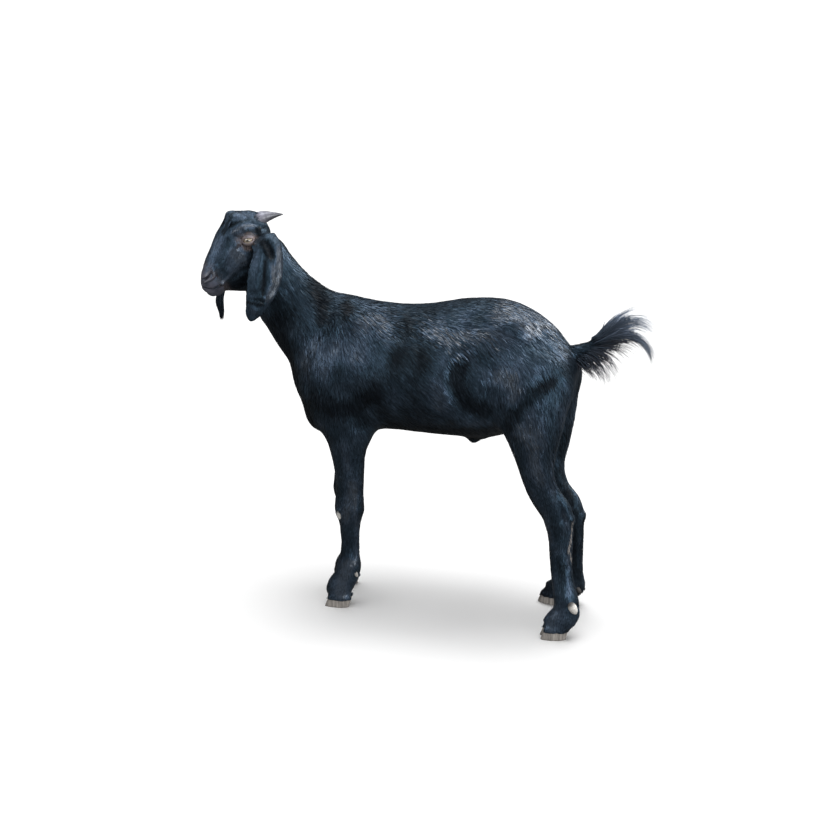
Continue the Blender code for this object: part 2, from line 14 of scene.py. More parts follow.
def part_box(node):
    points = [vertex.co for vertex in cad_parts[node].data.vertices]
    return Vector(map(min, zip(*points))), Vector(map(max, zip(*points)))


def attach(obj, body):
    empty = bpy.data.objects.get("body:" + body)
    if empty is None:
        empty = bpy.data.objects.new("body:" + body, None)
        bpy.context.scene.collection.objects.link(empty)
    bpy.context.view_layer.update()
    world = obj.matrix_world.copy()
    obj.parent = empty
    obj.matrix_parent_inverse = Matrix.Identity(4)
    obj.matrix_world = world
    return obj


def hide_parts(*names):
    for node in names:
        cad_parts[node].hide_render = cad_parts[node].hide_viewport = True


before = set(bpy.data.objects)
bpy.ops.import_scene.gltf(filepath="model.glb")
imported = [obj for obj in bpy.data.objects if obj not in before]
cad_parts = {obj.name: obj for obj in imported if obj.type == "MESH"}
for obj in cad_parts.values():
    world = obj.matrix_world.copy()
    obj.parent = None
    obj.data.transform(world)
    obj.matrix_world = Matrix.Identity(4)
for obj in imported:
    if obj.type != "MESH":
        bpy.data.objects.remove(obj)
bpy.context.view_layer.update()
rng = np.random.default_rng(11)

UP = np.array((0.0, 0.0, 1.0))
SIDES = (("left", 1.0), ("right", -1.0))
SKIN_VOXEL = 0.0040  # grain of the joined skin
CLOSE = 0.0006  # how far the parts grow to close the cuts between them
EYE_RADIUS = 0.0125
EAR_GROWTH = 0.0022  # the thin ears grow more, and settle back after the joining
EAR_DROP = 0.0035  # how far the soft tips of the ears hang below the CAD ones
HOOF_SHOWN = 0.0160  # how much of each hoof shows below the hair
CUFF_GROWTH = 0.0042  # how far the hair stands out over the top of a hoof
HOOF_VOXEL = 0.0015  # grain of the hoofs
SOLE_EDGE = (0.0004, 0.0030)  # heights between which a hoof's rounded rim goes flat on the floor
FLESH = ("head", "neck", "trunk", "foreleg_left", "foreleg_right", "hindleg_left",
         "hindleg_right", "ear_left", "ear_right")


# ---------------------------------------------------------------- small tools
def unit(vectors):
    """Vectors of length one."""
    vectors = np.asarray(vectors, dtype=float)
    return vectors / np.maximum(np.linalg.norm(vectors, axis=-1, keepdims=True), 1e-12)


def step(values, low, high):
    """0 below low, 1 above high, and smooth between them. low may be the larger one."""
    share = np.clip((np.asarray(values, dtype=float) - low) / (high - low), 0.0, 1.0)
    return share * share * (3.0 - 2.0 * share)


def mix(first, second, share):
    """first where share is 0, second where it is 1."""
    return first + (second - first) * share


def flattened(vectors, out):
    """Directions along the surface, without the part that points out of it."""
    return unit(vectors - out * np.sum(vectors * out, axis=1)[:, None])


def turned(vectors, out, angle):
    """Directions along the surface, turned in it by an angle for each."""
    across = np.cross(out, vectors)
    return unit(vectors * np.cos(angle)[:, None] + across * np.sin(angle)[:, None])


def from_side(places):
    """Places as seen from the side: x and z in millimetres."""
    return places[:, [0, 2]] * 1000.0


def middle_of(node):
    """The middle of a CAD node's box."""
    low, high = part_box(node)
    return np.array((low + high) / 2)


def waves(places, size, seed, count=7):
    """A smooth random field from -1 to 1 or so, whose bumps are about size across."""
    source = np.random.default_rng(seed)
    total = np.zeros(len(places))
    for _ in range(count):
        direction = unit(source.normal(size=3)) * 2.0 * math.pi / size
        total += np.sin(places @ (direction * source.uniform(0.6, 1.5)) + source.uniform(0.0, 6.3))
    return total / math.sqrt(count / 2.0) / 1.6


def line_distance(places, points):
    """How far each place is from a line through the points."""
    points = np.asarray(points, dtype=float)
    nearest = np.full(len(places), np.inf)
    if len(points) == 1:
        return np.linalg.norm(places - points[0], axis=1)
    for start, end in zip(points, points[1:]):
        run = end - start
        share = np.clip((places - start) @ run / max(run @ run, 1e-12), 0.0, 1.0)
        gap = np.linalg.norm(places - start - share[:, None] * run, axis=1)
        nearest = np.minimum(nearest, gap)
    return nearest


def ridge(places, points, radius, height):
    """The height of a soft ridge, or a groove if height is below 0, along a line of points."""
    share = np.clip(line_distance(places, points) / radius, 0.0, 1.0)
    return height * (1.0 - share * share) ** 2


def new_object(name, mesh):
    """Put a mesh in the scene under a name."""
    piece = bpy.data.objects.new(name, mesh)
    bpy.context.scene.collection.objects.link(piece)
    return piece


def voxelled(piece, grain):
    """Rebuild a piece's mesh as one even skin of quads of that grain."""
    remesh = piece.modifiers.new("even", "REMESH")
    remesh.mode = "VOXEL"
    remesh.voxel_size = grain
    graph = bpy.context.evaluated_depsgraph_get()
    mesh = bpy.data.meshes.new_from_object(piece.evaluated_get(graph))
    piece.modifiers.clear()
    piece.data = mesh
    return piece


def from_bmesh(name, bm):
    """A mesh made from a bmesh, which is freed."""
    mesh = bpy.data.meshes.new(name)
    bm.to_mesh(mesh)
    bm.free()
    return mesh


def placed(piece, slot, finish, *nodes):
    """Give a piece its material, fix it to the body and hide the CAD nodes that it stands for."""
    piece.data.materials.append(finish)
    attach(piece, "root")
    if nodes:
        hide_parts(*nodes)


def mesh_of(name, places, triangles):
    """A smooth mesh from arrays of places and triangles."""
    mesh = bpy.data.meshes.new(name)
    mesh.vertices.add(len(places))
    mesh.vertices.foreach_set("co", np.ascontiguousarray(places, dtype=np.float32).ravel())
    mesh.loops.add(3 * len(triangles))
    mesh.loops.foreach_set("vertex_index", np.ascontiguousarray(triangles, dtype=np.int32).ravel())
    mesh.polygons.add(len(triangles))
    mesh.polygons.foreach_set("loop_start", np.arange(0, 3 * len(triangles), 3, dtype=np.int32))
    mesh.update(calc_edges=True)
    mesh.shade_smooth()
    return mesh


def paint(mesh, name, values):
    """Store four numbers for each vertex, which the material's nodes read by name."""
    layer = mesh.attributes.new(name, "FLOAT_COLOR", "POINT")
    layer.data.foreach_set("color", np.ascontiguousarray(values, dtype=np.float32).ravel())


# ---------------------------------------------------------------- the head's own directions
EYES = {"left": middle_of("eye_left"), "right": middle_of("eye_right")}
HEAD_LEFT = unit(EYES["left"] - EYES["right"])
HEAD_FORWARD = unit(np.cross(HEAD_LEFT, UP))
EYES_AHEAD, EYES_ABOVE = 0.050, 0.0295  # from the skull's middle to the line of the eyes
SKULL = (EYES["left"] + EYES["right"]) / 2 - HEAD_FORWARD * EYES_AHEAD - UP * EYES_ABOVE
HEAD_AXES = np.stack([HEAD_FORWARD, UP, HEAD_LEFT])


def eye_outward(sign):
    """The direction in which an eye looks."""
    return unit(HEAD_LEFT * sign + HEAD_FORWARD * 0.26)


def head_point(forward, height, lateral=0.0):
    """The place ahead of the skull's middle, above it and to its left."""
    return SKULL + np.array((forward, height, lateral)) @ HEAD_AXES


def in_head(places):
    """Places as (forward, height, lateral) from the skull's middle."""
    return (places - SKULL) @ np.linalg.inv(HEAD_AXES)


def one_side(places):
    """Places in the head's directions, in millimetres, with the right side laid on the left."""
    folded = places * 1000.0
    folded[:, 2] = np.abs(folded[:, 2])
    return folded


# ---------------------------------------------------------------- the skin's mesh
def paint_grey(mesh, values):
    """Store one number for each vertex, as a grey."""
    paint(mesh, "hair", values[:, None] * (1.0, 1.0, 1.0, 0.0) + (0.0, 0.0, 0.0, 1.0))


def loft(name, centres, radii, around=16):
    """A closed round tube through the centres. radii gives (sideways, upright) at each."""
    bm = bmesh.new()
    rings = []
    tangents = unit(np.gradient(np.asarray(centres, dtype=float), axis=0))
    for centre, tangent, (wide, tall) in zip(centres, tangents, radii):
        side = unit(np.cross(UP, tangent))
        upright = np.cross(tangent, side)
        ring = []
        for k in range(around):
            angle = 2 * math.pi * k / around
            place = centre + side * wide * math.cos(angle) + upright * tall * math.sin(angle)
            ring.append(bm.verts.new(place))
        rings.append(ring)
    for first, second in zip(rings, rings[1:]):
        for k in range(around):
            n = (k + 1) % around
            bm.faces.new((first[k], first[n], second[n], second[k]))
    bm.faces.new(rings[0])
    bm.faces.new(rings[-1])
    bmesh.ops.recalc_face_normals(bm, faces=bm.faces)
    return from_bmesh(name, bm)


TAIL_LOW = np.array(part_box("tail")[0])


def tail_point(back, above):
    """The place so many millimetres behind and above the lower front corner of the tail's box."""
    return np.array((TAIL_LOW[0] + back / 1000.0, 0.0, TAIL_LOW[2] + above / 1000.0))


DOCK = [tail_point(-34, 34), tail_point(0, 50), tail_point(24, 60), tail_point(44, 70),
        tail_point(62, 86), tail_point(78, 108)]
DOCK_RADII = [(0.018, 0.022), (0.014, 0.020), (0.012, 0.015), (0.010, 0.012), (0.008, 0.009),
              (0.004, 0.005)]


def grown(name, amount):
    """A CAD node's mesh, welded and grown along its normals."""
    bm = bmesh.new()
    bm.from_mesh(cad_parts[name].data)
    bmesh.ops.remove_doubles(bm, verts=bm.verts, dist=1e-6)
    bmesh.ops.recalc_face_normals(bm, faces=bm.faces)
    bm.normal_update()
    for vertex, normal in [(v, v.normal.copy()) for v in bm.verts]:
        vertex.co += normal * amount
    return bm


def cuff(claw):
    """The hairy skin round the top of a hoof: the hoof's own shape, grown, down to its wall."""
    bm = grown(claw, CUFF_GROWTH)
    cut = bmesh.ops.bisect_plane(bm, geom=bm.verts[:] + bm.edges[:] + bm.faces[:],
                                 plane_co=(0.0, 0.0, HOOF_SHOWN), plane_no=(0.0, 0.0, 1.0),
                                 clear_inner=True)
    edges = [piece for piece in cut["geom_cut"] if isinstance(piece, bmesh.types.BMEdge)]
    bmesh.ops.contextual_create(bm, geom=edges)
    return from_bmesh(claw + "_cuff", bm)


def joined_flesh():
    """All flesh under one skin of even quads, with no cuts between the parts."""
    bm = bmesh.new()
    for name in FLESH + ("eye_left", "eye_right"):
        grow = {"eye": -CLOSE, "ear": EAR_GROWTH}.get(name[:3], CLOSE)
        bm.from_mesh(from_bmesh(name + "_grown", grown(name, grow)))
    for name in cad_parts:
        if name.startswith("claw"):
            bm.from_mesh(cuff(name))
    bm.from_mesh(loft("dock", DOCK, DOCK_RADII))
    return voxelled(new_object("flesh", from_bmesh("flesh", bm)), SKIN_VOXEL)


def refined(flesh):
    """Halve the grain on the head, and twice more round the eyes, nostrils and mouth."""
    bm = bmesh.new()
    bm.from_mesh(flesh.data)
    lines = [
        ([head_point(0.050, 0.020), head_point(0.100, -0.020), head_point(0.130, -0.060)], 0.075),
        ([head_point(0.045, -0.010, 0.062), head_point(0.055, -0.090, 0.070)], 0.040),
        ([head_point(0.030, -0.010, -0.062), head_point(0.030, -0.090, -0.070)], 0.040)]
    fine = [([head_point(0.050, 0.0295, 0.035)], 0.030), ([head_point(0.050, 0.0295, -0.035)], 0.030),
            ([head_point(0.135, -0.045), head_point(0.125, -0.065)], 0.030)]
    for reach in (lines, fine):
        places = np.array([vertex.co for vertex in bm.verts])
        near = np.zeros(len(places), dtype=bool)
        for points, radius in reach:
            near |= line_distance(places, points) < radius
        edges = [edge for edge in bm.edges if near[edge.verts[0].index] and near[edge.verts[1].index]]
        bmesh.ops.subdivide_edges(bm, edges=edges, cuts=1, use_grid_fill=True)
        bm.verts.ensure_lookup_table()
        bm.verts.index_update()
    bmesh.ops.triangulate(bm, faces=bm.faces)
    places = np.array([vertex.co for vertex in bm.verts])
    triangles = np.array([[vertex.index for vertex in face.verts] for face in bm.faces])
    bm.free()
    bpy.data.objects.remove(flesh)
    return places, triangles


class Surface:
    """A triangle mesh as arrays, with its vertex normals and neighbours."""

    def __init__(self, places, triangles):
        self.places = places
        self.triangles = triangles
        pairs = np.vstack([triangles[:, [0, 1]], triangles[:, [1, 2]], triangles[:, [2, 0]]])
        self.edges = np.unique(np.sort(pairs, axis=1), axis=0)
        self.count = len(places)
        self.degree = np.bincount(self.edges.ravel(), minlength=self.count).astype(float)

    def normals(self):
        """Each vertex's normal."""
        corners = self.places[self.triangles]
        faces = np.cross(corners[:, 1] - corners[:, 0], corners[:, 2] - corners[:, 0])
        total = np.zeros_like(self.places)
        for axis in range(3):
            for corner in range(3):
                total[:, axis] += np.bincount(self.triangles[:, corner], faces[:, axis], self.count)
        return unit(total)

    def averaged(self, values):
        """Each vertex's mean over its neighbours, for one or more columns."""
        flat = values.reshape(self.count, -1)
        result = np.zeros_like(flat)
        a, b = self.edges.T
        for column in range(flat.shape[1]):
            total = np.bincount(a, flat[b, column], self.count)
            total += np.bincount(b, flat[a, column], self.count)
            result[:, column] = total / np.maximum(self.degree, 1.0)
        return result.reshape(values.shape)

    def smooth(self, share, rounds, back=0.53):
        """Even the surface out. share is how much each vertex takes part.

        Each round is followed by one the other way, so that thin parts don't shrink.
        """
        for _ in range(rounds):
            for amount in (0.5, -back):
                self.places += amount * share[:, None] * (self.averaged(self.places) - self.places)

    def raise_by(self, height):
        """Move each vertex out along its normal."""
        self.places += self.normals() * height[:, None]


# ---------------------------------------------------------------- where is what on the body
def near_ears(places, margin):
    """For each CAD ear: a tree to find its surface with, and the places within a margin of it."""
    for side, _ in SIDES:
        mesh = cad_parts["ear_" + side].data
        tree = BVHTree.FromPolygons([v.co for v in mesh.vertices],
                                    [p.vertices for p in mesh.polygons])
        low, high = (np.array(corner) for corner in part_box("ear_" + side))
        yield tree, np.all((places > low - margin) & (places < high + margin), axis=1)


def settle_ears(surface, ears):
    """Bring the skin of the ears back onto their true shape."""
    for tree, near in near_ears(surface.places, 0.006):
        for index in np.nonzero(near & (ears > 0.01))[0]:
            found, normal = tree.find_nearest(Vector(surface.places[index]))[:2]
            target = np.array(found) - np.array(normal) * 0.0004
            surface.places[index] = mix(surface.places[index], target, ears[index])


def ear_share(places):
    """1 on the ears, 0 elsewhere."""
    share = np.zeros(len(places))
    for tree, inside in near_ears(places, 0.004):
        for index in np.nonzero(inside)[0]:
            distance = tree.find_nearest(Vector(places[index]))[3]
            share[index] = 1.0 - step(distance, 0.0030, 0.0060)
    return share


class Regions:
    """For each place how far it belongs to the head, the ears, the body, the legs and the feet."""

    def __init__(self, places, ears):
        height = places[:, 2]
        head = in_head(places)
        ahead = (head[:, 0] - 0.019) * 0.903 + (head[:, 1] + 0.018) * 0.429
        self.ear = ears
        self.head = step(ahead, -0.010, 0.016) * (1.0 - self.ear)
        self.leg = step(height, 0.40, 0.30)
        self.foot = step(height, 0.13, 0.05)
        self.body = (1.0 - self.head) * (1.0 - self.ear)
        self.in_head = head


def lids(surface):
    """Shape the eyelids round both balls. Returns how near each vertex is to an eye's opening."""
    bare = np.zeros(surface.count)
    for side, sign in SIDES:
        centre = EYES[side]
        out = eye_outward(sign)
        along = unit(HEAD_FORWARD - UP * 0.16 - out * (HEAD_FORWARD @ out))
        over = np.cross(out, along) * sign
        offset = surface.places - centre
        distance = np.linalg.norm(offset, axis=1)
        direction = offset / np.maximum(distance, 1e-9)[:, None]
        x, y, facing = direction @ along, direction @ over, direction @ out
        near = (distance < 0.030) & (facing > 0.05)
        # the opening is an almond, a little fuller above; edge is how far outside it a place lies
        arch = np.clip(1.0 - (x / 0.84) ** 2, 0.0, 1.0) ** 0.8
        edge = np.where(y > 0.0, y - 0.34 * arch, -y - 0.36 * arch)
        edge = np.maximum(edge, np.abs(x) - 0.84)
        lid = 0.0004 + 0.0018 * step(edge, 0.0, 0.10) - 0.0009 * step(edge, 0.14, 0.24)
        lid += 0.0011 * step(edge, 0.24, 0.34) - 0.0008 * step(edge, 0.36, 0.46)
        lid += 0.0009 * step(edge, 0.46, 0.56)
        rest = mix(EYE_RADIUS + lid, distance, step(edge, 0.40, 0.95))
        inner = np.full(surface.count, EYE_RADIUS - 0.0030)
        target = mix(inner, rest, step(edge, -0.07, 0.01))
        surface.places[near] = centre + direction[near] * target[near][:, None]
        bare = np.maximum(bare, np.where(near, 1.0 - step(edge + 0.14 * (y > 0.0), 0.22, 0.70), 0.0))
    return bare


# Lines on one side of the head, mirrored to the other: points (forward, height, lateral), radius
# of the line, and how far it stands out. All in millimetres.
HEAD_LINES = [
    ([(78, 48, 28), (67, 57, 33), (53, 61, 35), (38, 60, 35), (27, 53, 35)], 8, 3.4),  # brow
    ([(77, 37, 32), (63, 46, 37), (46, 48, 38), (33, 43, 38)], 6, -2.4),  # under it
    ([(82, 62, 22), (66, 70, 26), (48, 74, 26)], 7, -2.4),  # above it
    ([(74, 14, 35), (61, 7, 39), (46, 7, 41), (35, 14, 42)], 5, -1.8),  # under the eye
    ([(80, 30, 33), (80, 20, 34), (88, 8, 32), (98, -8, 30), (106, -26, 28)], 8, 2.4),  # face bone
    ([(92, 30, 25), (102, 6, 22), (112, -18, 19)], 9, -2.2),  # beside it
    ([(92, -22, 32), (78, -8, 36), (70, 0, 38)], 12, -1.6),  # cheek
    ([(106, -61, 22), (95, -53, 24), (87, -40, 27), (72, -25, 31), (56, -12, 36)], 6, 4.4),  # jaw
    ([(92, -64, 18), (78, -50, 24), (61, -36, 30), (44, -24, 36)], 10, -4.0),  # behind it
    ([(20, 38, 38), (14, 24, 42)], 12, -3.0),  # temple
    ([(129, -37, 21), (134, -43, 20), (140, -48, 17), (147, -49, 12)], 3.8, -7.5),  # nostril
    ([(125, -31, 20), (133, -34, 20), (140, -40, 18), (147, -43, 13)], 3.8, 3.8),  # its wing
    ([(123, -36, 21), (122, -43, 22), (129, -50, 20), (140, -55, 16)], 4.2, 3.4),  # behind it
    ([(119, -30, 22), (116, -38, 23), (117, -46, 23)], 3.5, -1.4),
    ([(141, -67, 11), (136, -68, 15), (125, -69, 21), (106, -61, 22), (97, -54, 22)], 2.6, -2.0),
    ([(147, -66, 0), (143, -67, 9)], 2.4, -0.7),  # mouth
    ([(139, -76, 8), (132, -79, 14), (122, -80, 17)], 6.0, 1.3),  # lower lip
    ([(134, -84, 0), (126, -88, 6)], 9.0, 2.4),  # chin
    ([(112, -70, 19), (104, -68, 20)], 6, -1.2),
    ([(40, 84, 4), (26, 82, 6), (14, 78, 8)], 16, 3.7),  # crown
    ([(66, 86, 0), (74, 85, 10)], 14, -1.2),
    ([(34, 68, 26), (22, 62, 28), (10, 60, 28)], 10, 3.4),  # under the horn
    ([(84, 84, 0), (84, 82, 10)], 10, 1.4),
]
PHILTRUM = ([(150, -48, 0), (149, -56, 0), (147, -64, 0)], 2.6, -1.6)
EAR_LINES = [
    ([(17, 26, 64), (12, 13, 66), (8, 0, 69)], 11, -6.5),  # hollow below the root
    ([(24, 4, 68), (24, -16, 70), (26, -50, 74), (30, -80, 74)], 7, -3.0),  # between the folds
    ([(-12, 20, 66), (-12, -14, 66), (-9, -44, 67), (-1, -72, 70), (14, -92, 72)], 9, 4.2),  # rear fold
    ([(6, -30, 69), (10, -56, 70)], 5, -1.6),
    ([(38, 14, 66), (43, -30, 72), (48, -66, 74)], 12, 2.4),  # front fold
    ([(66, -84, 70), (54, -92, 75), (42, -92, 76), (28, -98, 75)], 4.5, -3.6),  # lower flap
    ([(58, -104, 73), (46, -116, 74)], 10, 2.0),
]
# Lines on the sides of the body: points (x, z), radius, and how far they stand out, in
# millimetres. They show where the surface faces sideways.
BODY_LINES = [
    ([(78, 462), (66, 506), (52, 551), (64, 588), (102, 618), (150, 652)], 18, 1.5),  # flank fold
    ([(104, 582), (94, 540), (110, 490)], 40, -6.0),  # flank hollow
    ([(168, 540), (190, 506), (206, 471), (214, 445)], 22, 2.0),  # thigh's front
    ([(200, 585), (222, 550)], 50, 2.6),  # thigh
    ([(252, 556), (229, 525), (212, 495)], 18, -1.3),
    ([(170, 690), (206, 684), (238, 668)], 22, 2.4),  # hip
    ([(190, 648), (236, 628)], 24, -1.8),
    ([(284, 614), (292, 590)], 18, 2.0),  # seat bone
    ([(-228, 694), (-206, 660), (-196, 630)], 20, -2.4),  # ahead of the blade
    ([(-158, 672), (-180, 630), (-206, 586), (-228, 548)], 22, 2.0),  # blade
    ([(-110, 640), (-100, 600), (-96, 560)], 26, -2.2),  # behind the blade
    ([(-236, 500), (-192, 492), (-140, 496), (-100, 516)], 24, -2.6),  # under the shoulder
    ([(-206, 484), (-176, 462), (-150, 440)], 26, 2.6),  # upper arm
    ([(-112, 500), (-122, 460), (-132, 430)], 18, -3.6),  # elbow pit
] + [([(x, 640), (x + 10, 590), (x + 26, 536), (x + 34, 480)], 10, 0.35) for x in
     (-70, -44, -18, 8, 34)]
# Lines on the legs: left side points (x, z), radius, how far they stand out, for fore then hind.
LEG_LINES = [
    ([(-128, 400), (-140, 350), (-146, 290)], 9, -1.2),  # forearm muscles
    ([(-156, 404), (-160, 350), (-160, 300)], 9, 1.2),
    ([(-143, 196), (-143, 150), (-145, 112)], 6, -1.3),  # tendon groove
    ([(-174, 232), (-160, 240), (-146, 232), (-146, 212), (-160, 204), (-174, 210)], 6, 0.9),
    ([(286, 410), (291, 340), (301, 290), (308, 258)], 9, -4.0),  # hamstring's edge
    ([(300, 350), (312, 296), (323, 258)], 5, 1.4),
    ([(268, 400), (270, 350), (282, 300)], 12, 1.4),
    ([(316, 240), (315, 200), (320, 150)], 5, -1.5),  # tendon groove
    ([(300, 232), (304, 180), (310, 130)], 7, 1.0),
]
LEG_TOP = 420.0
FORE_AHEAD, HIND_AHEAD = 42.0, 4.0  # how far the right legs stand ahead of the left ones
# The points of both hocks and of the sheath: place, radius, how far it stands out in millimetres
KNOBS = [(np.array((0.326, -0.060, 0.256)), 0.016, 4.5), (np.array((0.332, 0.060, 0.222)), 0.016, 4.5),
         (np.array((0.100, 0.0, 0.394)), 0.014, 4.0)]
# The right fore fetlock, drawn in so that it stands behind the left one: where it starts below and
# ends above, how far its front and back sink in millimetres, and how much is taken from what
# reaches back beyond a place along X
SLIM_STARTS, SLIM_ENDS = (0.020, 0.045), (0.170, 0.140)
SLIM_DEPTH, SLIM_SHARE, SLIM_BEYOND = 3.0, 0.20, -0.200
# The middles of the bare pale calluses of the knees
CALLUS = [np.array((-0.1785, -0.0735, 0.218)), np.array((-0.222, 0.072, 0.217))]


def sculpt(surface, regions):
    """Raise and sink the surface along the lines of bone, muscle and fold."""
    normals = surface.normals()
    head = in_head(surface.places) * 1000.0
    mirrored = head * (1.0, 1.0, -1.0)
    height = np.zeros(surface.count)
    on_head = regions.head > 0.01
    on_ear = regions.ear > 0.01
    for points, radius, tall in HEAD_LINES:
        for places in (head, mirrored):
            height[on_head] += ridge(places[on_head], points, radius, tall)
    height[on_head] += ridge(head[on_head], *PHILTRUM)
    outward = {1.0: normals @ HEAD_LEFT, -1.0: -(normals @ HEAD_LEFT)}
    for points, radius, tall in EAR_LINES:
        for places, sign in ((head, 1.0), (mirrored, -1.0)):
            shown = on_ear & (outward[sign] > 0.0)
            height[shown] += ridge(places[shown], points, radius, tall) * regions.ear[shown]
    flat = from_side(surface.places)
    sideways = step(np.abs(normals[:, 1]), 0.25, 0.75) * regions.body
    for points, radius, tall in BODY_LINES:
        height += ridge(flat, points, radius, tall) * sideways
    outside = step(normals[:, 1] * np.sign(surface.places[:, 1]), 0.1, 0.6) * regions.body
    for points, radius, tall in LEG_LINES:
        ahead = FORE_AHEAD if points[0][0] < 0 else HIND_AHEAD
        shift = np.where((surface.places[:, 1] > 0.0) & (flat[:, 1] < LEG_TOP), -ahead, 0.0)
        moved = flat - np.stack([shift, np.zeros(surface.count)], axis=1)
        height += ridge(moved, points, radius, tall) * outside
    x, y, z = surface.places.T
    slim = (y > 0.0) * (x < 0.0) * step(z, *SLIM_STARTS) * step(z, *SLIM_ENDS)
    height -= SLIM_DEPTH * slim * np.abs(normals[:, 0])
    height += 2.4 * callus_share(surface.places, 0.0115)
    for point, radius, tall in KNOBS:
        gap = np.linalg.norm(surface.places - point, axis=1)
        height += tall * (1.0 - step(gap, 0.002, radius))
    surface.raise_by(height / 1000.0)
    beyond = np.clip(surface.places[:, 0] - SLIM_BEYOND, 0.0, None)
    surface.places[:, 0] -= SLIM_SHARE * slim * beyond


def build_skin():
    """The skin as a surface, its regions and the marks painted on it."""
    places, triangles = refined(joined_flesh())
    surface = Surface(places, triangles)
    ears = ear_share(surface.places)
    regions = Regions(surface.places, ears)
    calm = mix(1.0, 0.45, regions.leg) * (1.0 - 0.6 * regions.head) * (1.0 - 0.75 * regions.ear)
    calm *= 1.0 - 0.5 * regions.foot
    surface.smooth(calm, 26)
    settle_ears(surface, ears)
    surface.smooth(0.8 * regions.head + 0.9 * regions.ear + 0.3 * regions.leg, 6)
    from_mouth = line_distance(one_side(regions.in_head), MOUTH)
    surface.smooth(step(from_mouth, 16.0, 7.0) * regions.head, 14, back=0.30)
    low_ear = regions.ear * step(-regions.in_head[:, 1], 0.065, 0.125)
    surface.places -= low_ear[:, None] * (UP - 0.2 * HEAD_FORWARD) * EAR_DROP
    depth = (by_region(regions, COAT_DEPTH) + CLOSE) * (1.0 - regions.ear)
    surface.raise_by(-depth)
    sculpt(surface, regions)
    surface.smooth(0.35 * np.ones(surface.count), 2)
    bare = lids(surface)
    return surface, regions, bare


# What the coat is like on the body, the legs, the feet, the head and the ears
COAT_DEPTH = (0.0022, 0.0015, 0.0010, 0.0009, 0.0007)
TUFT_DENSITY = (100000, 190000, 280000, 420000, 330000)  # tufts on each square metre
TUFT_LENGTH = (0.0200, 0.0120, 0.0065, 0.0060, 0.0075)
TUFT_WIDTH = (0.0020, 0.0016, 0.0013, 0.0013, 0.0013)


def by_region(regions, values):
    """For each vertex a number that goes softly from one region's value to the next one's."""
    blended = mix(values[0], values[1], regions.leg)
    blended = mix(blended, values[2], regions.foot)
    blended = mix(blended, values[3], regions.head)
    return mix(blended, values[4], regions.ear)
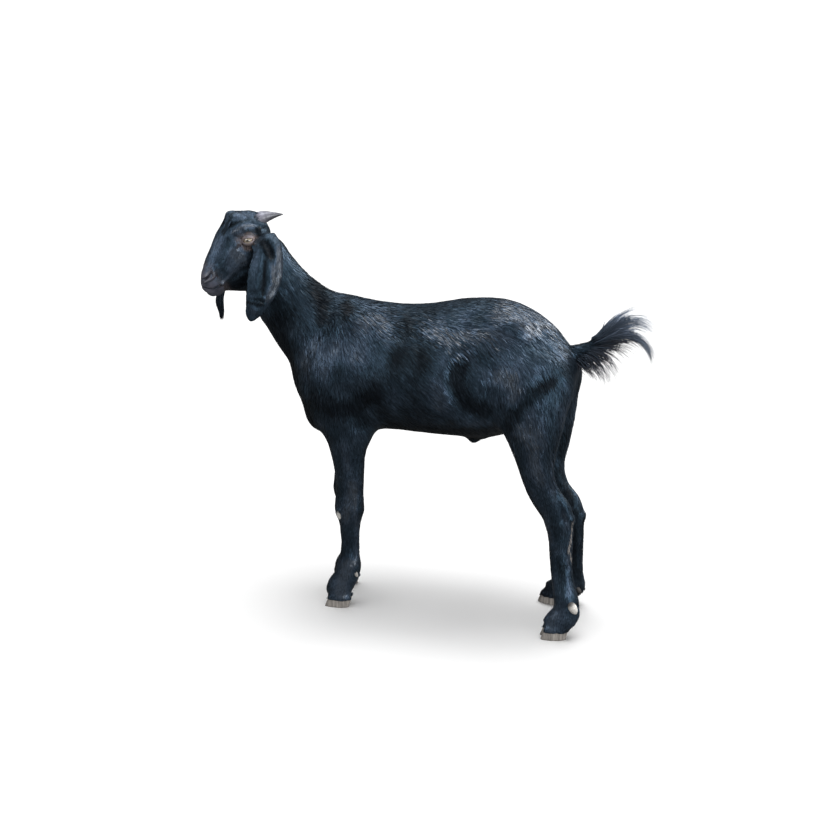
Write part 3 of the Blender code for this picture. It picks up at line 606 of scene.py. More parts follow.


# Painted highlight and painted shade on the body: where the coat is painted paler and sleeker, or
# darker and duller. Points (x, z) in millimetres, radius and how much
PAINTED_LIGHT_LINES = [
    ([(-212, 560), (-190, 590), (-130, 596)], 44, 0.30),  # shoulder
    ([(-258, 610), (-250, 560)], 22, 0.30),
    ([(-268, 556), (-248, 590), (-222, 614)], 20, 0.22),
    ([(-218, 500), (-170, 476), (-100, 508)], 27, -0.48),  # under the shoulder
    ([(-135, 650), (-108, 656), (-84, 640)], 18, 0.50),  # withers
    ([(-182, 680), (-170, 664)], 15, -0.40),
    ([(-250, 716), (-232, 680), (-222, 650)], 24, -0.45),
    ([(20, 640), (64, 630), (90, 640)], 20, 0.55),  # top of the ribs
    ([(-36, 645), (-40, 600), (-44, 550)], 36, -0.30),
    ([(-50, 665), (-46, 640)], 16, -0.12), ([(-80, 625), (-72, 612)], 16, 0.14),
    ([(4, 600), (-8, 550), (0, 490)], 30, -0.28), ([(30, 596), (2, 572)], 16, -0.15),
    ([(-32, 552), (0, 520), (36, 494)], 12, 0.16), ([(-16, 492), (-30, 480)], 16, -0.14),
    ([(73, 667), (90, 662)], 16, 0.14), ([(143, 676), (150, 670)], 20, 0.18),
    ([(-90, 530), (-84, 480)], 26, -0.20),
    ([(160, 690), (204, 696), (240, 672)], 31, 1.05),  # hip
    ([(110, 642), (150, 644), (196, 634)], 26, 0.32),
    ([(200, 668), (214, 648)], 20, 0.50),
    ([(258, 650), (272, 630)], 18, 0.25),  # rump
    ([(74, 470), (64, 506), (48, 551), (60, 588), (100, 620), (160, 656)], 14, 0.08),  # flank fold
    ([(86, 582), (80, 556), (96, 520), (118, 500), (140, 500)], 26, -0.60),  # flank
    ([(172, 572), (196, 560), (212, 532)], 30, 0.45),  # thigh
    ([(196, 578), (236, 584)], 24, 0.20),
    ([(204, 606), (170, 600)], 24, 0.15),
    ([(160, 520), (196, 524)], 18, 0.20),
    ([(272, 566), (240, 544), (210, 506), (194, 470)], 21, -0.48),
    ([(236, 494), (244, 466)], 24, 0.42), ([(316, 460), (312, 430)], 14, 0.30),
    ([(216, 466), (236, 448), (250, 400), (262, 350)], 24, 0.50),
    ([(262, 486), (268, 440)], 18, 0.25), ([(304, 520), (306, 430)], 14, 0.35),
    ([(74, 448), (100, 458), (140, 466)], 15, 0.38),
    ([(-330, 720), (-290, 650), (-262, 600)], 40, -0.15),  # neck
    ([(-320, 640), (-304, 560), (-280, 490), (-246, 440)], 34, -0.50),  # throat and breast
    ([(-240, 480), (-190, 470), (-130, 470), (-112, 446)], 28, -0.28),  # elbow
    ([(-60, 412), (40, 408), (80, 420)], 44, -0.60),  # belly
    ([(36, 545), (44, 500)], 24, 0.25),
    ([(-206, 390), (-196, 320)], 14, -0.30), ([(-160, 400), (-154, 340)], 16, 0.30),  # forearm
    ([(-146, 300), (-154, 240), (-164, 216)], 20, 0.40),  # knee
    ([(-184, 206), (-184, 130)], 8, -0.35),  # fore cannon
    ([(-140, 290), (-140, 180), (-144, 110)], 7, 0.35),
    ([(-160, 110), (-174, 66), (-176, 36)], 24, 0.70),  # fore foot
    ([(-210, 30), (-208, 50)], 12, -0.30),
    ([(286, 400), (284, 330)], 11, 0.35), ([(238, 330), (262, 285)], 14, 0.20),  # gaskin
    ([(270, 275), (284, 215)], 12, 0.45), ([(306, 280), (318, 252)], 9, 0.35),  # hock
    ([(305, 180), (315, 150)], 14, -0.20), ([(296, 150), (296, 110)], 10, 0.20),
    ([(326, 240), (322, 150), (328, 110)], 9, 0.35),
    ([(300, 30), (304, 64)], 26, 0.35),  # hind foot
]
# Where the hair parts and painted glints run in streaks: points (x, z) and radius
GLINTS = [
    ([(-150, 644), (-108, 656), (-70, 636)], 34), ([(0, 646), (64, 626), (100, 606)], 34),
    ([(150, 690), (204, 696), (244, 664)], 44), ([(262, 648), (290, 610)], 24),
    ([(110, 640), (150, 620)], 24), ([(210, 470), (240, 430)], 30),
]
# The whitish line along the tendon of the left hock, its radius and how pale it is
PALE_LINE, PALE_RADIUS, PALE_AMOUNT = [(328, 262), (325, 240), (322, 200), (327, 172)], 1.7, 0.42
NOSTRIL = [(147, -49, 12), (140, -48, 17), (134, -43, 20), (129, -37, 21)]
MOUTH = [(148, -64, 0), (138, -68, 16), (125, -70, 21), (106, -62, 22)]
FLATTER = np.array((1.0, 1.0, 0.4))  # lateral distances count for less on the head
# Painted highlight and painted shade on the head, and below on the ears: points (forward, height,
# lateral)
HEAD_PAINTED_LIGHT = [
    ([(104, 46, 22), (116, 8, 20), (126, -22, 18)], 20, 0.35),  # face
    ([(80, 50, 30), (66, 58, 34), (52, 62, 35), (38, 60, 34)], 6, 0.50),  # brow
    ([(84, 62, 22), (66, 72, 26), (46, 74, 27)], 6, -0.45),  # above it
    ([(76, 40, 33), (62, 48, 37), (44, 49, 38)], 4.5, -0.45),  # under it
    ([(92, -10, 30), (84, 14, 34)], 14, 0.25),
    ([(78, 6, 36), (66, -8, 38)], 18, 0.60),  # cheek
    ([(88, -26, 33), (74, -12, 37), (60, 2, 40)], 14, 0.30),
    ([(88, 38, 30), (92, 22, 30)], 8, -0.20),
    ([(104, -54, 22), (88, -40, 27), (72, -27, 31), (57, -13, 36)], 6, 0.70),  # jaw
    ([(92, -70, 12), (70, -59, 20), (48, -42, 30)], 15, -0.95),  # throat
    ([(30, 54, 36), (28, 30, 40)], 8, -0.60),  # behind the eye
    ([(88, 82, 4), (94, 72, 12), (98, 58, 20)], 4.5, -0.60),  # forelock
    ([(76, 84, 14), (82, 70, 24), (90, 54, 28)], 5, -0.50),
    ([(84, 84, 10), (88, 70, 20)], 4, 0.35),
    ([(64, 88, 14), (46, 88, 18), (28, 82, 20)], 12, 0.30),  # crown
    ([(146, -54, 8), (134, -58, 18), (118, -60, 22)], 8, 0.25),  # lips
    (NOSTRIL, 3.0, -3.20),
    ([(146, -43, 13), (139, -41, 18), (133, -35, 20), (127, -32, 21)], 4.0, 1.70),
    ([(146, -55, 13), (138, -53, 18), (131, -48, 20)], 3.6, 1.30),
    ([(125, -33, 21), (122, -40, 22), (126, -47, 21)], 3.4, 1.30),
    ([(119, -30, 22), (116, -38, 23), (117, -45, 23)], 2.5, -0.50),
    (MOUTH, 2.2, -1.00),
    ([(141, -75, 6), (132, -79, 14), (120, -80, 18)], 7, -0.45),  # lower lip
    ([(136, -84, 0), (120, -86, 12)], 9, -0.90),  # chin
]
EAR_PAINTED_LIGHT = [
    ([(-9, 14, 66), (-8, -18, 67), (-2, -46, 68), (7, -72, 70), (15, -90, 71)], 13, 0.90),
    ([(12, 40, 62), (28, 34, 64)], 9, 0.05),  # root
    ([(8, -20, 68), (8, -50, 69)], 9, 0.50),
    ([(14, -66, 70), (22, -88, 72)], 12, 0.40),
    ([(38, 20, 66), (44, -40, 72), (50, -80, 74)], 15, 0.15),  # front fold
    ([(20, 27, 66), (14, 14, 66), (9, 1, 68)], 11.5, -1.40),  # hollow
    ([(23, -8, 70), (26, -40, 72), (30, -78, 74)], 4.5, -0.55),  # between the folds
    ([(62, -92, 72), (46, -96, 76), (30, -100, 75)], 5, -0.60),  # lower flap
    ([(54, -110, 74), (48, -122, 74)], 12, 0.30),
]


def painted_light(places, regions, normals=None):
    """Painted highlight and painted shade, from 0 to 1: high where the coat is painted paler and
    sleeker, low where it is painted darker and duller.
    """
    total = np.full(len(places), 0.45)
    if normals is not None:
        # Painted shade: the inner sides of the legs and the undersides of the body are painted darker
        # and duller.
        inside = step(-normals[:, 1] * np.sign(places[:, 1]), 0.0, 0.6)
        total -= 0.40 * inside * step(places[:, 2], 0.48, 0.38)
        total -= 0.35 * step(-normals[:, 2], 0.2, 0.8) * step(places[:, 2], 0.20, 0.30)
    flat = from_side(places)
    for points, radius, amount in PAINTED_LIGHT_LINES:
        total += ridge(flat, points, radius, amount) * regions.body
    head = one_side(in_head(places)) * FLATTER
    for lines, share in ((HEAD_PAINTED_LIGHT, regions.head), (EAR_PAINTED_LIGHT, regions.ear)):
        for points, radius, amount in lines:
            total += ridge(head, np.array(points) * FLATTER, radius, amount) * share
    total += 0.10 * waves(places, 0.060, 23)
    return np.clip(total, 0.0, 1.0)


# ---------------------------------------------------------------- the lie of the hair
# Guides on the body, seen from the side: x, z in millimetres, then the direction backwards and up
BODY_FLOW = [
    (-300, 740, 0.60, -0.75), (-300, 660, 0.45, -0.85), (-330, 610, 0.20, -0.97),
    (-220, 680, 0.85, -0.45), (-290, 520, 0.10, -0.99), (-190, 600, 0.22, -0.95),
    (-120, 600, 0.55, -0.80), (-180, 480, 0.10, -0.99), (-60, 680, 1.00, -0.15),
    (0, 630, 0.85, -0.50), (-40, 560, 0.60, -0.75), (0, 460, 0.65, -0.65),
    (0, 400, 1.00, -0.05), (100, 690, 1.00, -0.12), (180, 665, 0.85, -0.50),
    (240, 650, 0.68, -0.72), (290, 600, 0.45, -0.90), (100, 560, 0.55, -0.80),
    (95, 450, 0.60, -0.70), (190, 540, 0.18, -0.98), (280, 510, 0.15, -0.98),
    (200, 430, 0.28, -0.95), (260, 360, 0.45, -0.88), (300, 250, 0.10, -0.99),
    (-160, 350, 0.02, -1.00), (-160, 200, 0.00, -1.00), (-160, 60, -0.10, -0.99),
    (300, 60, -0.10, -0.99), (340, 600, 0.80, 0.40), (370, 650, 0.70, 0.70),
]
# Guides on the head: forward and height in millimetres, then the direction forward and up
HEAD_FLOW = [
    (85, 84, 0.80, -0.50), (55, 86, -0.20, -0.60), (25, 70, -0.80, -0.40), (105, 40, 0.35, -0.93),
    (128, -10, 0.30, -0.95), (75, 20, 0.15, -0.98), (60, -10, -0.10, -0.99), (75, -45, -0.25, -0.95),
    (130, -70, 0.40, -0.90), (50, -85, -0.80, -0.55), (30, 50, -0.60, -0.75), (0, 40, -0.80, -0.60),
    (20, 0, -0.40, -0.90),
]


def guided(places, guides):
    """The direction at each place, drawn from the nearest guides."""
    guides = np.array(guides, dtype=float)
    total = np.zeros((len(places), 2))
    for guide in guides:
        distance = np.sum((places - guide[:2]) ** 2, axis=1)
        total += guide[2:] / ((distance + 900.0) ** 1.7)[:, None]
    return unit(total)


def lie_of_hair(places, normals, regions):
    """The direction along the skin in which the hair lies."""
    body = guided(from_side(places), BODY_FLOW)
    flow = np.stack([body[:, 0], np.zeros(len(places)), body[:, 1]], axis=1)
    face = guided(regions.in_head[:, :2] * 1000.0, HEAD_FLOW)
    head_flow = face[:, :1] * HEAD_FORWARD + face[:, 1:] * UP
    flow = mix(flow, head_flow, regions.head[:, None])
    ear_flow = unit(HEAD_FORWARD * 0.28 - UP)
    flow = mix(flow, ear_flow[None, :], regions.ear[:, None])
    turn = 0.16 * waves(places, 0.045, 3) + 0.10 * waves(places, 0.016, 4)
    return turned(flattened(flow, normals), normals, turn)


# ---------------------------------------------------------------- hair as solid blades
def blades(name, centres, sides, outs, widths, heights, paints, patch, facing=None):
    """One mesh of closed three-sided blades that run to a point.

    centres, sides and outs are (blade, station, xyz), widths and heights (blade, station), paints
    (blade, station, 4) and patch (blade, 2): where each blade's colours lie on the bake's map.
    facing is the direction that each station's top faces; without it the blade is shaded round.
    """
    count, stations = widths.shape
    left = centres - sides * widths[..., None] / 2
    right = centres + sides * widths[..., None] / 2
    crest = centres + outs * heights[..., None]
    rings = np.stack([left, right, crest], axis=2)[:, :-1].reshape(count, -1, 3)
    places = np.concatenate([rings, centres[:, -1:]], axis=1)
    per_blade = places.shape[1]
    faces = [(0, 2, 1)]
    for ring in range(stations - 2):
        for k in range(3):
            a, b = 3 * ring + k, 3 * ring + (k + 1) % 3
            faces += [(a, b, b + 3), (a, b + 3, a + 3)]
    last = 3 * (stations - 2)
    faces += [(last, last + 1, per_blade - 1), (last + 1, last + 2, per_blade - 1),
              (last + 2, last, per_blade - 1)]
    triangles = np.array(faces)[None] + (np.arange(count) * per_blade)[:, None, None]
    mesh = mesh_of(name, places.reshape(-1, 3), triangles.reshape(-1, 3))
    colours = np.concatenate([np.repeat(paints[:, :-1], 3, axis=1), paints[:, -1:]], axis=1)
    paint(mesh, "hair", colours.reshape(-1, 4))
    if facing is not None:
        lean = np.stack([facing - sides * BLADE_ROUND, facing + sides * BLADE_ROUND, facing], axis=2)
        lean = np.concatenate([lean[:, :-1].reshape(count, -1, 3), facing[:, -1:]], axis=1)
        shading = mesh.attributes.new("custom_normal", "FLOAT_VECTOR", "POINT")
        shading.data.foreach_set("vector", unit(lean).astype(np.float32).ravel())
    # the patch on the bake's map: across the blade and along it
    corner = np.array([(0.0, 1.0, 0.5)[k % 3] for k in range(per_blade - 1)] + [0.5])
    rise = np.array([k // 3 / (stations - 1) for k in range(per_blade - 1)] + [1.0])
    spread = np.stack([corner, rise], axis=1) - 0.5
    where = patch[:, None, :] + PATCH * spread[None]
    layer = mesh.uv_layers.new(name="OFBake")
    layer.uv.foreach_set("vector", np.clip(where.reshape(-1, 2)[triangles.reshape(-1)], 0.0, 1.0)
                         .astype(np.float32).ravel())
    return new_object(name, mesh)


PATCH = 0.003  # width of a tuft's patch on the bake's map
BLADE_ROUND = 0.20  # how round the short tufts are shaded
MAP_MARGIN = 0.01  # how far the bake's map keeps the tufts off its edges
PIECE_TRIANGLES = 190000  # the most that one piece of the coat may have
TUFT_TRIANGLES = 10


def in_map(shares):
    """Shares from 0 to 1 as places on the bake's map."""
    return MAP_MARGIN + (1.0 - 2.0 * MAP_MARGIN) * shares


def sample(surface, density):
    """Random places on the surface, so many to the square metre. Returns triangles and shares."""
    corners = surface.places[surface.triangles]
    area = np.linalg.norm(np.cross(corners[:, 1] - corners[:, 0], corners[:, 2] - corners[:, 0]),
                          axis=1) / 2
    expected = area * density[surface.triangles].mean(axis=1)
    number = np.floor(expected + rng.random(len(expected))).astype(int)
    chosen = np.repeat(np.arange(len(area)), number)
    a, b = rng.random(len(chosen)), rng.random(len(chosen))
    over = a + b > 1.0
    a[over], b[over] = 1.0 - a[over], 1.0 - b[over]
    return chosen, np.stack([1.0 - a - b, a, b], axis=1)


def at(surface, chosen, shares, values):
    """Values of the vertices, blended at places inside triangles."""
    picked = values[surface.triangles[chosen]]
    return np.einsum("ij,ij...->i...", shares, picked)


# ---------------------------------------------------------------- materials
def material(name, roughness, specular, tint=(1.0, 1.0, 1.0)):
    """A Principled material and its nodes."""
    made = bpy.data.materials.new(name)
    made.use_nodes = True
    shader = made.node_tree.nodes["Principled BSDF"]
    shader.inputs["Roughness"].default_value = roughness
    shader.inputs["Specular IOR Level"].default_value = specular
    shader.inputs["Specular Tint"].default_value = tuple(tint) + (1.0,)
    return made, made.node_tree, shader


def node(tree, kind, **settings):
    """A new node with its settings."""
    made = tree.nodes.new(kind)
    for name, value in settings.items():
        setattr(made, name, value)
    return made


def own_places(tree, scale=None):
    """The piece's own coordinates, stretched by a scale along each axis if there is one."""
    places = node(tree, "ShaderNodeTexCoord").outputs["Object"]
    if scale is None:
        return places
    mapping = node(tree, "ShaderNodeMapping")
    mapping.inputs["Scale"].default_value = scale
    tree.links.new(places, mapping.inputs["Vector"])
    return mapping.outputs["Vector"]


def noise(tree, vector, scale, detail=2.0):
    """A random field from 0 to 1, with so many bumps to the metre."""
    made = node(tree, "ShaderNodeTexNoise")
    made.inputs["Scale"].default_value = scale
    made.inputs["Detail"].default_value = detail
    tree.links.new(vector, made.inputs["Vector"])
    return made.outputs["Fac"]


def roughen(tree, shader, height, strength, distance):
    """Shade the surface as if a field stood out of it by a distance in metres."""
    bump = node(tree, "ShaderNodeBump")
    bump.inputs["Strength"].default_value = strength
    bump.inputs["Distance"].default_value = distance
    tree.links.new(height, bump.inputs["Height"])
    tree.links.new(bump.outputs["Normal"], shader.inputs["Normal"])


def painted(tree):
    """The four numbers painted on the piece."""
    marks = node(tree, "ShaderNodeAttribute", attribute_name="hair")
    parts = node(tree, "ShaderNodeSeparateColor")
    tree.links.new(marks.outputs["Color"], parts.inputs["Color"])
    return [parts.outputs[part] for part in ("Red", "Green", "Blue")] + [marks.outputs["Alpha"]]


def painted_mean(tree):
    """The mean of the first three numbers painted on the piece."""
    return node(tree, "ShaderNodeAttribute", attribute_name="hair").outputs["Fac"]


def ramp(tree, source, stops):
    """Colours along a value."""
    made = node(tree, "ShaderNodeValToRGB")
    elements = made.color_ramp.elements
    while len(elements) < len(stops):
        elements.new(0.5)
    for element, (place, colour) in zip(elements, stops):
        element.position = place
        element.color = tuple(colour) + (1.0,)
    tree.links.new(source, made.inputs["Fac"])
    return made.outputs["Color"]


def blend(tree, share, first, second, mode="MIX"):
    """Mix two colours, each a socket or three numbers."""
    made = node(tree, "ShaderNodeMix", data_type="RGBA", blend_type=mode)
    for value, socket in ((share, made.inputs["Factor"]), (first, made.inputs[6]),
                          (second, made.inputs[7])):
        if isinstance(value, (int, float)):
            socket.default_value = value
        elif isinstance(value, tuple):
            socket.default_value = value + (1.0,)
        else:
            tree.links.new(value, socket)
    return made.outputs[2]


# The coat's colours from darkest to palest. The shade painted on each tuft picks among them, and it
# carries painted highlight and painted shade as well as the coat's own random tone.
COAT_DARK, COAT_MEAN = (0.002, 0.0028, 0.0038), (0.008, 0.0115, 0.016)
COAT_LIGHT = (0.030, 0.041, 0.058)
BLUE = (0.50, 0.75, 1.0)
# The tint of the coat's sheen, from dull hair to sleek hair: dim and grey where the coat is painted in
# shade, bright and bluish where it is painted with highlights
SHINE = [(0.0, (0.025, 0.032, 0.042)), (0.25, (0.09, 0.155, 0.21)), (0.45, (0.22, 0.41, 0.61)),
         (0.70, (0.43, 0.65, 1.0)), (0.86, (0.60, 0.77, 1.0)), (1.0, (0.84, 0.91, 1.0))]


def coat_material(name, roughness=0.38, specular=0.70, pale_and_sheen=(0.42, 0.38, 0.34)):
    """Black glossy hair. Painted on it: its shade, brownness, paleness and sleekness. The shade and the
    sleekness carry painted highlight and painted shade, and the sleekness sets the roughness and the
    sheen's tint.
    """
    made, tree, shader = material(name, roughness, specular, BLUE)
    shade, brownness, paleness, sleek_and_sheen = painted(tree)
    black = ramp(tree, shade, [(0.0, COAT_DARK), (0.5, COAT_MEAN), (1.0, COAT_LIGHT)])
    brown = blend(tree, brownness, black, (0.125, 0.096, 0.090))
    tree.links.new(blend(tree, paleness, brown, pale_and_sheen), shader.inputs["Base Color"])
    gloss = node(tree, "ShaderNodeMapRange")
    gloss.inputs["To Min"].default_value = roughness + 0.16
    gloss.inputs["To Max"].default_value = roughness - 0.08
    tree.links.new(sleek_and_sheen, gloss.inputs["Value"])
    tree.links.new(gloss.outputs["Result"], shader.inputs["Roughness"])
    tree.links.new(ramp(tree, sleek_and_sheen, SHINE), shader.inputs["Specular Tint"])
    return made


def skin_material():
    """Short hair over skin. Painted on it: nose, bare skin of the lids, callus and sleekness, where the
    sleekness carries painted highlight and painted shade through the sheen's tint.
    """
    made, tree, shader = material("skin", 0.44, 0.62, BLUE)
    nosed, bared, hardened, sleek_and_sheen = painted(tree)
    grain = noise(tree, own_places(tree), 420.0, 4.0)
    blotch = noise(tree, own_places(tree), 60.0)
    coat = ramp(tree, grain, [(0.3, COAT_DARK), (0.7, COAT_MEAN)])
    nose = ramp(tree, blotch, [(0.35, (0.032, 0.032, 0.040)), (0.7, (0.066, 0.062, 0.076))])
    bare = ramp(tree, blotch, [(0.35, (0.075, 0.060, 0.058)), (0.7, (0.145, 0.108, 0.095))])
    callus = ramp(tree, grain, [(0.3, (0.44, 0.43, 0.40)), (0.7, (0.70, 0.68, 0.64))])
    mixed = blend(tree, nosed, coat, nose)
    mixed = blend(tree, bared, mixed, bare)
    mixed = blend(tree, hardened, mixed, callus)
    tree.links.new(mixed, shader.inputs["Base Color"])
    tree.links.new(ramp(tree, sleek_and_sheen, SHINE), shader.inputs["Specular Tint"])
    roughen(tree, shader, grain, 0.35, 0.0006)
    return made


# ---------------------------------------------------------------- the coat
def hair_fields(surface, regions, normals, bare):
    """For each vertex: tufts to the square metre, their length, width, rise and shade. The shade
    carries painted highlight and painted shade, more strongly on the head, and paints the feet paler.
    """
    x, _, z = surface.places.T
    muzzle = muzzle_share(regions)
    density = by_region(regions, TUFT_DENSITY)
    density = density * (1.0 - step(bare, 0.15, 0.45)) * (1.0 - callus_share(surface.places, 0.0132))
    density = density * (1.0 - step(muzzle, 0.80, 1.0))
    density = density * (1.0 - step(-normals[:, 2], 0.05, 0.35) * step(z, 0.04, 0.03))
    length = by_region(regions, TUFT_LENGTH)
    length = length * (1.0 - 0.50 * muzzle) * (1.0 - 0.4 * step(bare, 0.0, 0.3))
    chest = step(x, -0.20, -0.27) * step(z, 0.56, 0.46)
    chest = chest * (1.0 - regions.leg) * (1.0 - regions.head)
    forelock = forelock_share(regions)
    behind = step(normals[:, 0], 0.3, 0.8) * step(z, 0.26, 0.22) * regions.leg * step(x, 0.1, 0.2)
    breech = step(normals[:, 0], 0.2, 0.7) * step(x, 0.22, 0.27) * step(z, 0.30, 0.40)
    withers = step(normals[:, 2], 0.2, 0.7) * step(np.abs(x + 0.20), 0.13, 0.06)
    withers = withers * regions.body
    length = length * (1.0 + 0.45 * chest) * (1.0 + 2.2 * forelock) * (1.0 + 0.35 * breech)
    width = by_region(regions, TUFT_WIDTH) * (1.0 + 0.3 * forelock)
    rise = by_region(regions, COAT_DEPTH) * 0.85 * (1.0 + 0.8 * forelock + 1.2 * chest)
    rise = rise + 0.0012 * behind + 0.0026 * breech + 0.0014 * withers
    # Painted highlight and painted shade: the shade follows the painted light, more strongly on the
    # head, and the feet are painted paler as if better lit.
    shade = 0.10 + (0.60 + 0.40 * regions.head) * painted_light(surface.places, regions, normals)
    shade += 0.30 * regions.foot
    shade += 0.10 * waves(surface.places, 0.05, 21) + 0.08 * waves(surface.places, 0.012, 22)
    return density, length, width, rise, shade


def glint_share(places, head):
    """1 along the top of the body, where the locks part and catch the light, 0 elsewhere."""
    return step(places[:, 2], 0.575, 0.640) * (1.0 - head) * step(places[:, 0], -0.30, -0.20)


def callus_share(places, radius):
    """1 on the bare calluses of the knees, out to a radius, 0 elsewhere."""
    share = np.zeros(len(places))
    for centre in CALLUS:
        offset = places - centre - UP * (radius - 0.0085) * 0.6
        gap = np.linalg.norm(offset * (1.0, 0.8, 0.72), axis=1)
        share = np.maximum(share, 1.0 - step(gap, radius - 0.0025, radius))
    return share


FORELOCK = np.array([(0.070, 0.086, 0.0), (0.092, 0.074, 0.0), (0.104, 0.050, 0.0)])


def forelock_share(regions):
    """1 on the forehead, where the hair is long and loose, 0 elsewhere."""
    gap = line_distance(regions.in_head, FORELOCK)
    return (1.0 - step(gap, 0.012, 0.030)) * regions.head


def muzzle_share(regions):
    """1 on the nose and lips, 0 elsewhere."""
    down = regions.in_head @ np.array((0.80, -0.60, 0.0))
    down = down + 0.004 * waves(regions.in_head, 0.016, 61)
    return step(down, 0.103, 0.126) * regions.head


def grow_coat(surface, regions, normals, flow, bare):
    """All short tufts, each with three stations along it: where they lie and how they look."""
    density, length, width, rise, shade = hair_fields(surface, regions, normals, bare)
    chosen, shares = sample(surface, density)
    number = len(chosen)
    tree = BVHTree.FromPolygons(surface.places.tolist(), surface.triangles.tolist())

    def picked(values):
        return at(surface, chosen, shares, values)

    root, out, lie = picked(surface.places), unit(picked(normals)), picked(flow)
    long = picked(length) * rng.uniform(0.70, 1.25, number)
    wide = picked(width) * rng.uniform(0.75, 1.35, number)
    tall = picked(rise) * rng.uniform(0.55, 1.10, number)
    turn = rng.normal(0.0, 0.13, number)
    lie = turned(flattened(lie, out), out, turn)
    centres, outs, sides = [root - out * 0.0003], [out], [np.cross(out, lie)]
    here, heading = root, lie
    for lift in (0.55, 1.0):
        ahead = here + heading * (long * 0.5)[:, None]
        found = [tree.find_nearest(place) for place in ahead.tolist()]
        here = np.array([hit[0] for hit in found])
        face = np.array([hit[2] for hit in found])
        out = unit(normals[surface.triangles[face]].mean(axis=1))
        heading = flattened(heading, out)
        lie = unit(flow[surface.triangles[face]].mean(axis=1) + heading * 1.2)
        heading = flattened(lie, out)
        centres.append(here + out * (tall * lift)[:, None])
        outs.append(out)
        sides.append(np.cross(out, heading))
    centres, sides, outs = (np.stack(rows, axis=1) for rows in (centres, sides, outs))
    clump = waves(root, 0.022, 31) * 0.10 + waves(root, 0.009, 32) * 0.06
    loose = mix(0.11, 0.30, np.maximum(glint_share(root, picked(regions.head)),
                                       picked(forelock_share(regions))))
    roll = clump * (1.0 + 2.0 * loose) + rng.normal(0.0, 1.0, number) * loose
    facing = outs + sides * roll[:, None, None]
    forward = np.cross(sides, outs)
    pitch = rng.normal(0.0, 0.07, number)[:, None] + np.array((0.05, 0.0, -0.06))[None]
    facing = unit(facing + forward * pitch[..., None])
    shades = np.clip(picked(shade) + rng.normal(0.0, 0.13, number), 0.0, 1.0)
    streaks = root - lie * np.sum(root * lie, axis=1)[:, None] * 0.75
    # Painted highlight and painted shade for each tuft, with painted glints in streaks along the top of
    # the body.
    light_tones = picked(painted_light(surface.places, regions, normals))
    flat = from_side(root)
    glint = np.zeros(number)
    for points, radius in GLINTS:
        glint = np.maximum(glint, ridge(flat, points, radius, 1.0))
    glint *= 1.0 - picked(regions.head)
    light_tones = light_tones + (0.08 + 0.26 * glint) * waves(streaks, 0.006, 33)
    light_tones = light_tones + (0.04 + 0.16 * glint) * rng.normal(0.0, 1.0, number)
    round_eyes = np.min([np.linalg.norm(root - EYES[side], axis=1) for side, _ in SIDES], axis=0)
    browns = np.maximum(picked(0.60 * step(bare, 0.0, 0.5)), 0.30 * picked(muzzle_share(regions)))
    browns = np.maximum(browns, 0.70 * (1.0 - step(round_eyes, 0.015, 0.023)))
    browns *= 1.0 - picked(regions.ear)
    outside = step(-outs[:, 0, 1], -0.2, 0.3) * (root[:, 1] < 0.0)
    pales = PALE_AMOUNT * ridge(flat, PALE_LINE, PALE_RADIUS, 1.0) * outside
    return dict(root=root, centres=centres, outs=outs, sides=sides, facing=facing,
                widths=np.outer(wide, (0.75, 1.0, 0.0)), heights=np.outer(wide, (0.10, 0.18, 0.0)),
                shades=shades, browns=browns, pales=pales, light_tones=light_tones,
                head=picked(regions.head), ear=picked(regions.ear))


def body_parts(tufts, head):
    """The name of the part of the body on which each tuft grows."""
    x, y, z = tufts["root"].T
    fore = (z < 0.40) & (x < 0.05)
    hind = (z < 0.40) & (x >= 0.12)
    belly = (np.abs(x + 0.02) < 0.13) & (z > 0.36) & (z < 0.42)
    kind = np.full(len(x), "trunk", dtype="<U16")
    for side, on_side in (("left", y < 0), ("right", y >= 0)):
        kind[fore & on_side] = "foreleg_" + side
        kind[hind & on_side] = "hindleg_" + side
    kind[belly] = "trunk"
    kind[(kind == "trunk") & (x < -0.235)] = "neck"
    kind[tufts["head"] > 0.5] = "head"
    for side, on_side in (("left", head[:, 2] > 0), ("right", head[:, 2] <= 0)):
        kind[(tufts["ear"] > 0.5) & on_side] = "ear_" + side
    return kind


def unwrapped(name, places, head):
    """Where places lie round a part of the body, in radians, and along it."""
    x, y, z = places.T
    if name.startswith(("fore", "hind")):
        centre = np.median(places, axis=0)
        return np.arctan2(y - centre[1], x - centre[0]), z
    if name == "head":
        angle = np.arctan2(head[:, 2], head @ np.array((0.78, 0.62, 0.0)))
        return angle, head @ np.array((0.62, -0.78, 0.0))
    if name.startswith("ear"):
        outside = np.abs(head[:, 2]) > 0.064
        return (head[:, 0] / 0.085 * math.pi * 0.45) + np.where(outside, 1.5, -1.5), z
    return np.arctan2(y, z - (0.54 if name == "trunk" else 0.66)), x


